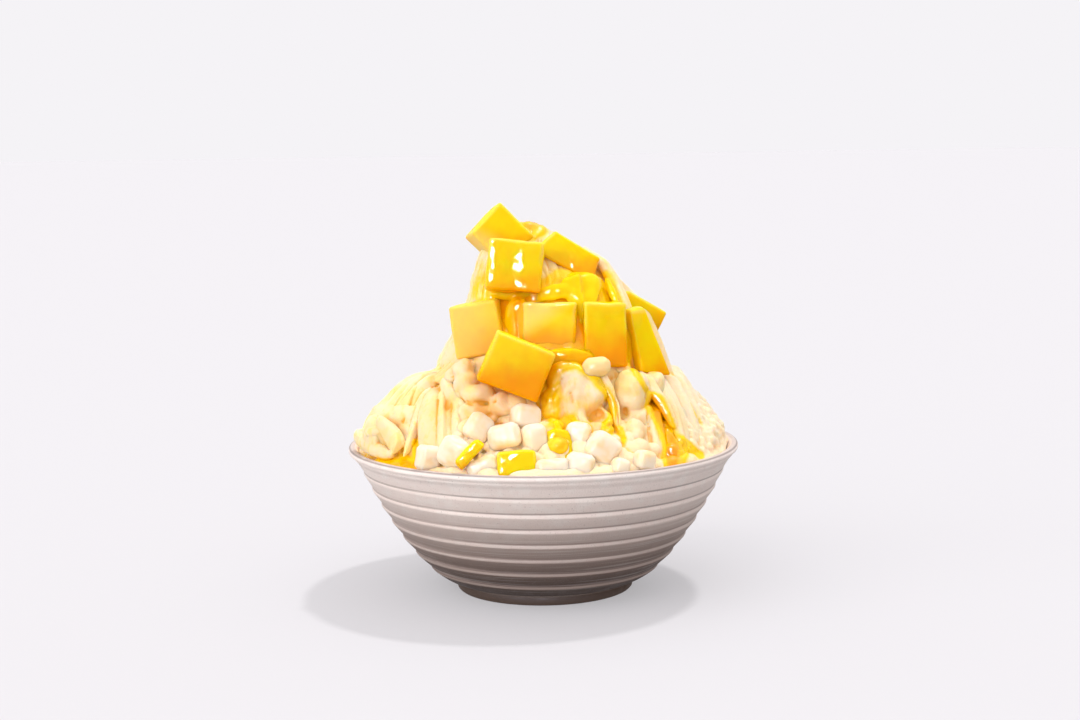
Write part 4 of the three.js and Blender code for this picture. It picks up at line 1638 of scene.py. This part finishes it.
    def finish(self, skin: Melt, swell: float, fine: float, drape: float) -> None:
        """Roughens a skin, keeps it inside the bowl's wall, marks where syrup has soaked in and paints shade
        in its hollows.

        Args:
            skin: the melted parts.
            swell: strength of its broad waves.
            fine: strength of its fine grain.
            drape: strength of the fine lines down the slope.
        """
        points = skin.points
        above = ease(66.0, 71.0, points[:, 2])
        fluff = self.fluff(points)
        grain = noise(points, 2.6, 31) + 0.6 * noise(points, 1.4, 32)
        dent = amounts(self.dents, points)
        film = self.syrup_depth * ease(0.5, 0.95, amounts(self.soaks, points))
        shift = swell * noise(points, 7.0, 33) + fine * grain * (0.6 + 2.0 * fluff) - dent + film
        shift = above * (shift + drape * self.creases(points) * (1.0 - 0.7 * fluff))
        points = points + skin.normals * shift[:, None]
        radius = np.hypot(points[:, 0], points[:, 1])
        limit = self.bowl.inside_radius(points[:, 2]) - 0.35
        held = np.where(points[:, 2] < self.bowl.height + 0.3, np.minimum(1.0, limit / radius), 1.0)
        points[:, :2] *= held[:, None]
        skin.move(points)
        skin.thin(self.most_triangles)
        points = skin.points
        above = ease(62.0, 70.0, points[:, 2])
        pale = self.pale(points)
        # painted shade: amber in hollows, creases and dents and where the skin sinks inside the mound, less
        # on white snow
        hollow_shade = 0.5 * ease(0.06, 0.7, skin.hollowness(14)) + 0.45 * ease(0.3, 3.0, skin.hollowness(60))
        sunk = 0.2 * (1.0 - ease(-1.5, 2.4, self.proud(points)))
        narrow = 0.8 * ease(0.02, 0.2, skin.hollowness(4))
        dent = amounts(self.dents, points)
        skin.paint("hollow_shade", above * (np.maximum(hollow_shade + narrow, sunk) * (1.0 - 0.75 * pale) + 0.3 * dent))
        # tan painted shade where the marks above lie
        skin.paint("tan", amounts(self.tan_shades, points))
        skin.paint("soak", SOAK_STORED * amounts(self.soaks, points) + 0.1 * hollow_shade * (1.0 - pale))
        skin.paint("fluff", pale)

    def build(self) -> None:
        """Melts the core, the groups of folds, and the knots between them into one skin each."""
        thin = [self.ribbon(fold, 20, 20) for fold in self.thin_folds()]
        left = [self.strip(strip) for strip in self.left_strips + self.curl]
        fanned = [strip for number, fan in enumerate(self.fans) for strip in fan.strips(500 + 100 * number)]
        middle = [self.strip(strip) for strip in self.middle_strips + tuple(fanned)]
        top = [self.strip(strip) for strip in self.top_strips]
        knots = self.lump_surfaces(self.left_lumps + self.middle_lumps + self.top_lumps)
        back = [self.ribbon(fold, 48, 40) for fold in self.back_folds()] + self.lump_surfaces(self.back_lumps)
        skins = (
            ("snow_ice_core", [self.core(), self.snow(), *thin], 0.72, 2, 0.7, 0.3, 0.8),
            ("left_folds", left, 0.42, 2, 0.25, 0.08, 0.25),
            ("middle_folds", [*middle, self.bed()], 0.44, 2, 0.35, 0.1, 0.15),
            ("top_folds", top, 0.42, 2, 0.3, 0.1, 0.4),
            ("knots", [*knots, self.crater_rim()], 0.46, 7, 1.2, 0.14, 0.1),
            ("back_folds", back, 0.6, 2, 0.5, 0.16, 0.7),
        )
        material = SnowIceFinish().material()
        for name, parts, voxel, rounds, *strengths in skins:
            skin = Melt(name, Surface.joined(parts), voxel)
            skin.relax(rounds)
            self.finish(skin, *strengths)
            place(skin.object, ["shaved_ice"], Slot.ICE, material)


# ---- blocks


@dataclass
class CutBlock:
    """A hand-cut block of fruit or jelly, shaped from the corners of its node."""

    node: str
    rounding: float
    bulge: float
    cells: int
    # how much closer the grid lines stand towards the edges
    bunching: float = 0.92
    # how far outside its cut triangle a sharp corner lies, per chamfer
    corner_out: float = 1.1547

    def corners(self) -> Array:
        """The block's sharp corners.

        Near each corner stand three points of the node, one in each face. Their middle, moved out along the
        triangle's own direction, is the corner.

        Returns:
            Corners numbered by the bits x, y and z of their signs, 8 by 3.
        """
        points = node_points(self.node)
        middle = points.mean(axis=0)
        apart = np.linalg.norm(points[:, None] - points[None], axis=-1)
        groups = np.unique(np.sort(np.argsort(apart, axis=1)[:, :3], axis=1), axis=0)
        a, b, c = (points[groups[:, i]] for i in range(3))
        centre = (a + b + c) / 3
        normal = unit(np.cross(b - a, c - a))
        normal *= np.sign(np.sum(normal * (centre - middle), axis=1))[:, None]
        chamfer = np.linalg.norm(a - b, axis=1, keepdims=True) / math.sqrt(2)
        found = centre + self.corner_out * chamfer * normal
        signs = np.sign((found - middle) @ self.axes().T)
        order = ((signs > 0) @ np.array([1, 2, 4])).astype(int)
        return found[np.argsort(order)]

    def axes(self) -> Array:
        """The block's own axes, nearest to X, Y and Z: the directions of its largest faces.

        Returns:
            Three directions, as rows.
        """
        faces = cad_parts[self.node].data.polygons
        normals = read(faces, "normal")
        alike = np.abs(normals @ normals.T) > 0.97
        weight = alike @ read(faces, "area", 1).ravel()
        found = []
        for index in np.argsort(-weight):
            if all(abs(normals[index] @ other) < 0.6 for other in found):
                found.append(normals[index])
        found = np.array(found[:3])
        orders = [list(order) for order in itertools.permutations(range(3))]
        best = max(orders, key=lambda order: np.abs(np.diag(found[order])).prod())
        rows = found[best]
        return rows * np.sign(np.diag(rows))[:, None]

    def surface(self) -> tuple[Surface, Array]:
        """The block with rounded edges and faces that swell a little.

        A cube's faces are squared grids. Each point is pulled to a core smaller by the rounding and pushed
        out again along the way it came, which rounds the edges, and then mapped between the eight corners.

        Returns:
            The surface, and each point's place in the block from -1 to 1.
        """
        corners = self.corners()
        index = np.arange(8)
        sides = [corners[index & bit > 0] - corners[index & bit == 0] for bit in (1, 2, 4)]
        size = np.array([np.linalg.norm(side, axis=1).mean() for side in sides]) / 2
        line = np.linspace(-1, 1, self.cells + 1) * np.pi / 2
        line = np.sin(line * self.bunching) / math.sin(np.pi / 2 * self.bunching)
        u, v = (axis.ravel() for axis in np.meshgrid(line, line))
        one = np.ones_like(u)
        sheets = []
        for axis in range(3):
            for sign in (-1.0, 1.0):
                sheet = np.stack([sign * one, u * sign, v], axis=-1)
                sheets.append(np.roll(sheet, axis, axis=1))
        cube = np.round(np.concatenate(sheets), 6)
        cube, number = np.unique(cube, axis=0, return_inverse=True)
        number = number.reshape(6, self.cells + 1, self.cells + 1)
        reach = cube * size
        core = np.clip(reach, -(size - self.rounding), size - self.rounding)
        flat = np.abs(cube) > 0.999
        swell = self.bulge * np.prod(np.where(flat, 1.0, 1.0 - cube**2), axis=1) * (flat.sum(axis=1) == 1)
        local = core + unit(reach - core) * self.rounding + np.where(flat, cube, 0.0) * swell[:, None]
        share = (local / size + 1) / 2
        points = np.zeros_like(local)
        for index, corner in enumerate(corners):
            bits = np.array([index & 1, index >> 1 & 1, index >> 2 & 1])
            points += np.prod(np.where(bits, share, 1 - share), axis=1)[:, None] * corner
        return Surface(points, grid_quads(number)), 2 * share - 1


@dataclass(frozen=True)
class Glaze:
    """Syrup that lies on a block: the side that it covers, how far it reaches over it, and its thickness."""

    side: Triple
    cover: float
    thickness: float = 0.9

    def depth(self, local: Array, points: Array, seed: int) -> Array:
        """Depth of the syrup at each point: full on its side, with a wavy edge and slow swells.

        Args:
            local: each point's place in the block, from -1 to 1.
            points: the points, n by 3.
            seed: picks another chance.

        Returns:
            Depths in millimetres.
        """
        edge = local @ np.array(self.side) + 0.55 * noise(points, 7.0, seed) + self.cover
        swell = 1.0 + 1.3 * noise(points, 8.0, seed + 1) + 0.25 * noise(points, 3.5, seed + 2)
        return self.thickness * ease(-0.25, 0.35, edge) * np.maximum(swell, 0.2)


@dataclass
class MangoBlocks:
    """The mango cubes and bits: flat cut faces and rounded edges, some with a paler side or under syrup."""

    rounding: float = 1.15
    bit_rounding: float = 1.2
    cells: int = 24
    glazed_cells: int = 40
    bulge: float = 0.3
    unevenness: float = 0.35
    pale_sides: dict[str, Triple] = field(default_factory=lambda: {
        "mango_cube_01": (-1.1, -0.1, -0.4),
        "mango_cube_05": (-0.3, -0.75, 0.1),
        "mango_cube_06": (-0.7, -0.1, 0.9),
        "mango_cube_11": (0.8, 0.3, 0.3),
        "mango_cube_13": (0.2, 0.9, 0.2),
    })
    # how much more or less painted shade each block gets lower down
    shade_shift: dict[str, float] = field(default_factory=lambda: {
        "mango_cube_02": -0.22, "mango_cube_08": -0.3, "mango_cube_09": 0.04, "mango_bit_01": -0.3,
        "mango_bit_02": -0.3,
    })
    glazes: dict[str, Glaze] = field(default_factory=lambda: {
        "mango_cube_02": Glaze((0.1, -0.6, 0.5), 0.8, 1.5),
        "mango_cube_03": Glaze((0.0, -0.3, -0.8), -0.1),
        "mango_cube_06": Glaze((0.1, 0.1, 1.0), -0.7),
        "mango_cube_07": Glaze((-0.2, 0.1, 1.0), -0.5),
        "mango_cube_08": Glaze((-0.3, 0.2, 0.8), -0.5),
        "mango_bit_01": Glaze((0.0, -0.4, 0.6), 0.6, 0.5),
        "mango_bit_02": Glaze((0.0, -0.4, 0.6), 0.6, 0.7),
        "mango_cube_11": Glaze((0.0, 0.3, 0.9), -0.1),
        "mango_cube_14": Glaze((0.0, 0.4, 0.6), 0.3),
    })

    def build(self) -> None:
        """Makes each block with its own slight waves, its syrup, and marks for its finish."""
        material = MangoFinish().material()
        for number, node in enumerate(nodes_named("mango_cube") + nodes_named("mango_bit")):
            rounding = self.rounding if "cube" in node else self.bit_rounding
            glaze = self.glazes.get(node)
            cells = self.glazed_cells if glaze else self.cells
            surface, local = CutBlock(node, rounding, self.bulge, cells).surface()
            outward = unit(surface.points - surface.points.mean(axis=0))
            syrup = glaze.depth(local, surface.points, 200 + 3 * number) if glaze else np.zeros(len(local))
            wave = noise(surface.points, 8.0, 50 + number) * self.unevenness
            surface.points += outward * (wave + syrup - 0.6 * syrup.mean())[:, None]
            piece = surface.object(node + "_flesh")
            side = np.array(self.pale_sides.get(node, (0.0, 0.0, 0.0)))
            height = surface.points[:, 2]
            share = (height - height.min()) / np.ptp(height)
            # the upper edges get a painted highlight in the pale colour, on top of the paler sides
            edge = ease(0.84, 0.97, np.sort(np.abs(local), axis=1)[:, 1]) * ease(0.45, 0.8, share)
            paint(piece, "pale", np.maximum(0.9 * ease(0.1, 1.1, local @ side), 0.5 * edge))
            # painted shade, more of it lower down each block
            paint(piece, "low", 1.0 - share + self.shade_shift.get(node, 0.0))
            paint(piece, "wet", ease(0.1, 0.4, syrup))
            place(piece, [node], Slot.MANGO, material)


@dataclass
class JellyCubes:
    """The coconut jelly: small soft cubes with well rounded edges."""

    rounding_share: float = 0.2
    bulge: float = 0.45
    unevenness: float = 0.7
    plumpness: float = 1.14
    cells: int = 18
    # the cube that lies above this height is worn and tinted
    worn_above: float = 100.0
    worn_rounding_share: float = 0.34
    worn_plumpness: float = 0.98
    worn_tint: float = 0.8

    def build(self) -> None:
        """Makes each cube with slack, wavy faces. The one that lies high up alone is worn round."""
        material = JellyFinish().material()
        for number, node in enumerate(nodes_named("coconut_jelly")):
            low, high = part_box(node)
            worn = low.z / MM > self.worn_above
            share = self.worn_rounding_share if worn else self.rounding_share
            plumpness = self.worn_plumpness if worn else self.plumpness
            surface, _ = CutBlock(node, share * min(high - low) / MM, self.bulge, self.cells).surface()
            middle = surface.points.mean(axis=0)
            wave = noise(surface.points, 6.0, 90 + number) * self.unevenness
            surface.points += unit(surface.points - middle) * wave[:, None]
            surface.points += (plumpness - 1.0) * (surface.points - middle)
            piece = surface.object(node + "_cube")
            paint(piece, "tint", np.full(len(surface.points), self.worn_tint if worn else 0.0))
            place(piece, [node], Slot.JELLY, material)


@dataclass
class Pearls:
    """The mango pearls: thin-skinned balls, slightly flattened where they lie."""

    flattening: float = 0.12
    thin: Colour = tone(255, 222, 60)
    thick: Colour = tone(255, 190, 20)

    def build(self) -> None:
        """Makes each pearl as a ball, lower at its top."""
        material = SyrupFinish(self.thin, self.thick).material("pearl_skin")
        for node in nodes_named("mango_pearl"):
            centre, radius = round_node(node)
            ball = unit_ball(30, 44)
            ball[..., 2] *= 1.0 - self.flattening * ease(0.2, 1.0, ball[..., 2])
            piece = Surface.rings(centre + ball * radius).object(node + "_ball")
            place(piece, [node], Slot.PEARL, material)


# ---- syrup


@dataclass(frozen=True)
class Pour:
    """A run of syrup: the points it passes, its thickness along the way, and how it swells and thins."""

    corners: Rows
    radius: float
    swell: float = 0.25

    def surface(self, seed: int) -> Surface:
        """A strand along a smooth curve through the corners, thinner at its ends, with swells of noise.

        Args:
            seed: picks another chance.

        Returns:
            The closed strand.
        """
        path = smooth_path(np.array(self.corners, float), 14 * len(self.corners))
        s = np.linspace(0.0, 1.0, len(path))
        ends = np.sqrt(np.maximum(0.05, 1.0 - (2.0 * s - 1.0) ** 4))
        swell = 1.0 + self.swell * noise(path, 6.0, seed) * 2.0
        return along_path(path, self.radius * ends * swell)


@dataclass
class Syrup:
    """Mango syrup that fills the gaps between the upper cubes, runs down the ice and rings the pearls."""

    ice: SnowIce
    # x, y, z, half width, half depth, half height
    pools: Rows = (
        (-10.5, -32.5, 128, 6.0, 4, 10), (4, -41, 112.5, 12, 4.5, 4), (15, -42, 112, 8, 4.5, 4),
        (16.5, -33, 121, 2.6, 4.5, 12), (-12, -28, 139, 11, 4.5, 3), (6, -67.5, 77.5, 8.5, 2.6, 7),
        (4, 36, 128, 6, 5, 6), (-18, 36, 116, 7, 5, 6),
    )
    sheets: tuple[Strip, ...] = (
        Strip(((15, -25, 149, 10, 4), (17.5, -28.5, 144, 20, 5), (18, -31.5, 138, 17, 6),
               (19, -33.5, 132, 10, 5), (19.5, -35.5, 126, 4, 4)), 2, 2.2),
        Strip(((-3, -33.5, 138, 5, 4), (3, -34, 139.5, 7, 5), (9, -33.5, 140.5, 8, 5),
               (16, -31.5, 140, 7, 5)), 1, 1.6),
        Strip(((-11, -30, 140, 8, 4), (-10.5, -35, 131, 11, 6), (-10, -38, 122, 11, 6),
               (-9, -41, 114, 8, 5)), 2, 1.0),
        Strip(((-6, -46, 112, 6, 4), (4, -47.5, 112.5, 9, 6), (14, -47, 113, 9, 6), (22, -44, 112, 6, 5)),
               1, 0.4),
    )
    pours: tuple[Pour, ...] = (
        Pour(((29, -20.5, 145), (32, -23.5, 138), (34, -26, 131)), 1.8),
        Pour(((5, -61, 87), (6.5, -64.5, 81)), 2.2),
        Pour(((6, 44, 118), (8, 52, 104), (9, 60, 92), (8, 66, 82)), 2.0),
    )
    # where the syrup lies deepest, between and under the cubes: a darker orange for the thick syrup that is
    # also painted shade there
    deep_and_shaded: tuple[Trail, ...] = (
        Trail(((-10.5, -36, 134), (-10.5, -38, 126), (-10, -41, 114)), 5.0, 1.0),
        Trail(((-4, -46, 112), (8, -47, 112.5), (20, -45, 112)), 5.0, 0.7),
    )
    drops: int = 60
    voxel: float = 0.42
    rounds: int = 8
    wave: float = 0.5
    wave_length: float = 4.5
    most_triangles: int = 150000

    def rings_round_pearls(self) -> list[Surface]:
        """A low ring of syrup round each pearl, in the slope that it lies on.

        Returns:
            The rings.
        """
        made = []
        for node in nodes_named("mango_pearl"):
            centre, radius = round_node(node)
            facing = unit(centre * np.array([1.0, 1.0, 0.0]) + np.array([0.0, 0.0, 50.0]))
            aside = unit(np.cross(facing, np.array([0.0, 0.0, 1.0])))
            above = np.cross(facing, aside)
            turn = np.linspace(0.0, 2.0 * np.pi, 48)
            reach = (radius + 1.2) * (1.0 + 0.06 * np.sin(3 * turn + 1.0))
            spokes = aside * np.cos(turn)[:, None] + above * np.sin(turn)[:, None]
            path = centre - facing * 1.4 + reach[:, None] * spokes
            made.append(along_path(path, 2.3 + 0.3 * np.sin(2 * turn)))
        return made

    def drop_surfaces(self) -> Surface:
        """Small drops scattered round the pools.

        Returns:
            The drops.
        """
        draw = np.random.default_rng(8)
        pools = np.array(self.pools)
        picked = pools[draw.integers(0, len(pools), self.drops)]
        away = unit(draw.normal(0.0, 1.0, (self.drops, 3)))
        centres = picked[:, :3] + away * (picked[:, 3:] + 0.3)
        halves = np.repeat(draw.uniform(0.6, 1.0, (self.drops, 1)), 3, axis=1)
        return balls(centres, halves, 8, 12)

    def build(self) -> None:
        """Melts pools, runs, rings and drops into one glossy skin."""
        pools = np.array(self.pools, float)
        parts = [balls(pools[:, :3], pools[:, 3:], 16, 24), self.drop_surfaces(), *self.rings_round_pearls()]
        parts += [pour.surface(number) for number, pour in enumerate(self.pours)]
        parts += [self.ice.strip(sheet) for sheet in self.sheets]
        skin = Melt("mango_syrup", Surface.joined(parts), self.voxel)
        skin.relax(self.rounds)
        skin.move(skin.points + skin.normals * self.wave * noise(skin.points, self.wave_length, 71)[:, None])
        skin.thin(self.most_triangles)
        # deeper orange between and under the cubes, partly painted shade
        skin.paint("deep", amounts(self.deep_and_shaded, skin.points))
        place(skin.object, [], None, SyrupFinish().material("mango_syrup"))


# ---- studio


@dataclass
class Studio:
    """The camera, a pale floor, a key light from above, a glint, a broad front light and white all round.

    The lights are parallel, so that the floor is as bright far away as it is near.
    """

    camera_place: Triple = (-0.96, -800.0, 202.69)
    camera_down: float = 6.907
    camera_roll: float = -0.0142
    lens: float = 58.12
    sensor: float = 36.0
    key_from: Triple = (0.306, 0.194, 1.0)
    key_spread: float = 5.0
    key_strength: float = 1.25
    # the glint shows only in what is glossy
    glint_from: Triple = (-0.2, -0.92, 0.37)
    glint_spread: float = 16.0
    glint_strength: float = 6.0
    glint_colour: Colour = (1.0, 1.0, 1.2)
    front_from: Triple = (-0.82, -0.86, 0.5)
    front_spread: float = 70.0
    front_strength: float = 1.58
    surround: Colour = (0.913, 0.896, 0.922)
    # the surroundings' strength below the horizon, and between which heights of a direction it changes
    under: float = 0.42
    dim_below: float = -0.03
    full_above: float = -0.01
    floor_reach: float = 60000.0
    floor_lines: int = 9

    def camera(self) -> None:
        """A camera in front, looking slightly down."""
        data = bpy.data.cameras.new("camera")
        data.lens, data.sensor_width = self.lens, self.sensor
        data.clip_start, data.clip_end = 0.01, 200.0
        made = bpy.data.objects.new("camera", data)
        bpy.context.scene.collection.objects.link(made)
        look = Matrix.Rotation(math.radians(90.0 - self.camera_down), 4, "X")
        roll = Matrix.Rotation(self.camera_roll, 4, "Z")
        made.matrix_world = Matrix.Translation([value * MM for value in self.camera_place]) @ look @ roll
        bpy.context.scene.camera = made

    def floor(self) -> None:
        """A flat square of paper that reaches the horizon, and gives the bowl's underside little light."""
        line = np.linspace(-self.floor_reach, self.floor_reach, self.floor_lines)
        x, y = np.meshgrid(line, line)
        number = np.arange(x.size).reshape(x.shape)
        points = np.stack([x.ravel(), y.ravel(), 0.0 * x.ravel()], axis=-1)
        paper = Surface(points, grid_quads(number)).object("paper_floor")
        paper.data.materials.append(StudioFloor().material())
        paper.visible_diffuse = False

    def sun(self, name: str, source: Triple, spread: float, strength: float) -> bpy.types.Object:
        """A parallel light.

        Args:
            name: its name.
            source: the direction that it comes from.
            spread: how wide it looks, in degrees.
            strength: its strength square on.

        Returns:
            The light.
        """
        data = bpy.data.lights.new(name, "SUN")
        data.angle, data.energy = math.radians(spread), strength
        made = bpy.data.objects.new(name, data)
        made.rotation_euler = Vector(source).to_track_quat("Z", "Y").to_euler()
        bpy.context.scene.collection.objects.link(made)
        return made

    def world(self) -> None:
        """White light from above the horizon, and dim light from below it."""
        world = bpy.data.worlds.new("surround")
        world.use_nodes = True
        tree = world.node_tree
        where = tree.nodes.new("ShaderNodeTexCoord")
        parts = tree.nodes.new("ShaderNodeSeparateXYZ")
        level = tree.nodes.new("ShaderNodeMapRange")
        level.inputs["From Min"].default_value = self.dim_below
        level.inputs["From Max"].default_value = self.full_above
        level.inputs["To Min"].default_value = self.under
        tree.links.new(where.outputs["Generated"], parts.inputs[0])
        tree.links.new(parts.outputs["Z"], level.inputs["Value"])
        background = tree.nodes["Background"]
        background.inputs["Color"].default_value = (*self.surround, 1.0)
        tree.links.new(level.outputs[0], background.inputs["Strength"])
        bpy.context.scene.world = world

    def build(self) -> None:
        """Sets camera, floor and lights, and shows colours as they are."""
        self.camera()
        self.floor()
        self.sun("key", self.key_from, self.key_spread, self.key_strength)
        glint = self.sun("glint", self.glint_from, self.glint_spread, self.glint_strength)
        glint.visible_diffuse = False
        glint.data.color = self.glint_colour
        self.sun("front", self.front_from, self.front_spread, self.front_strength)
        self.world()
        view = bpy.context.scene.view_settings
        view.view_transform, view.look = "Standard", "None"


def main() -> None:
    """Builds the serving from the bowl up."""
    logging.basicConfig(level=logging.INFO, format="%(message)s")
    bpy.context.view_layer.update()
    Studio().build()
    bowl = Bowl()
    bowl.build()
    ice = SnowIce(bowl)
    ice.build()
    MangoBlocks().build()
    JellyCubes().build()
    Pearls().build()
    Syrup(ice).build()


if __name__ == "__main__":
    main()
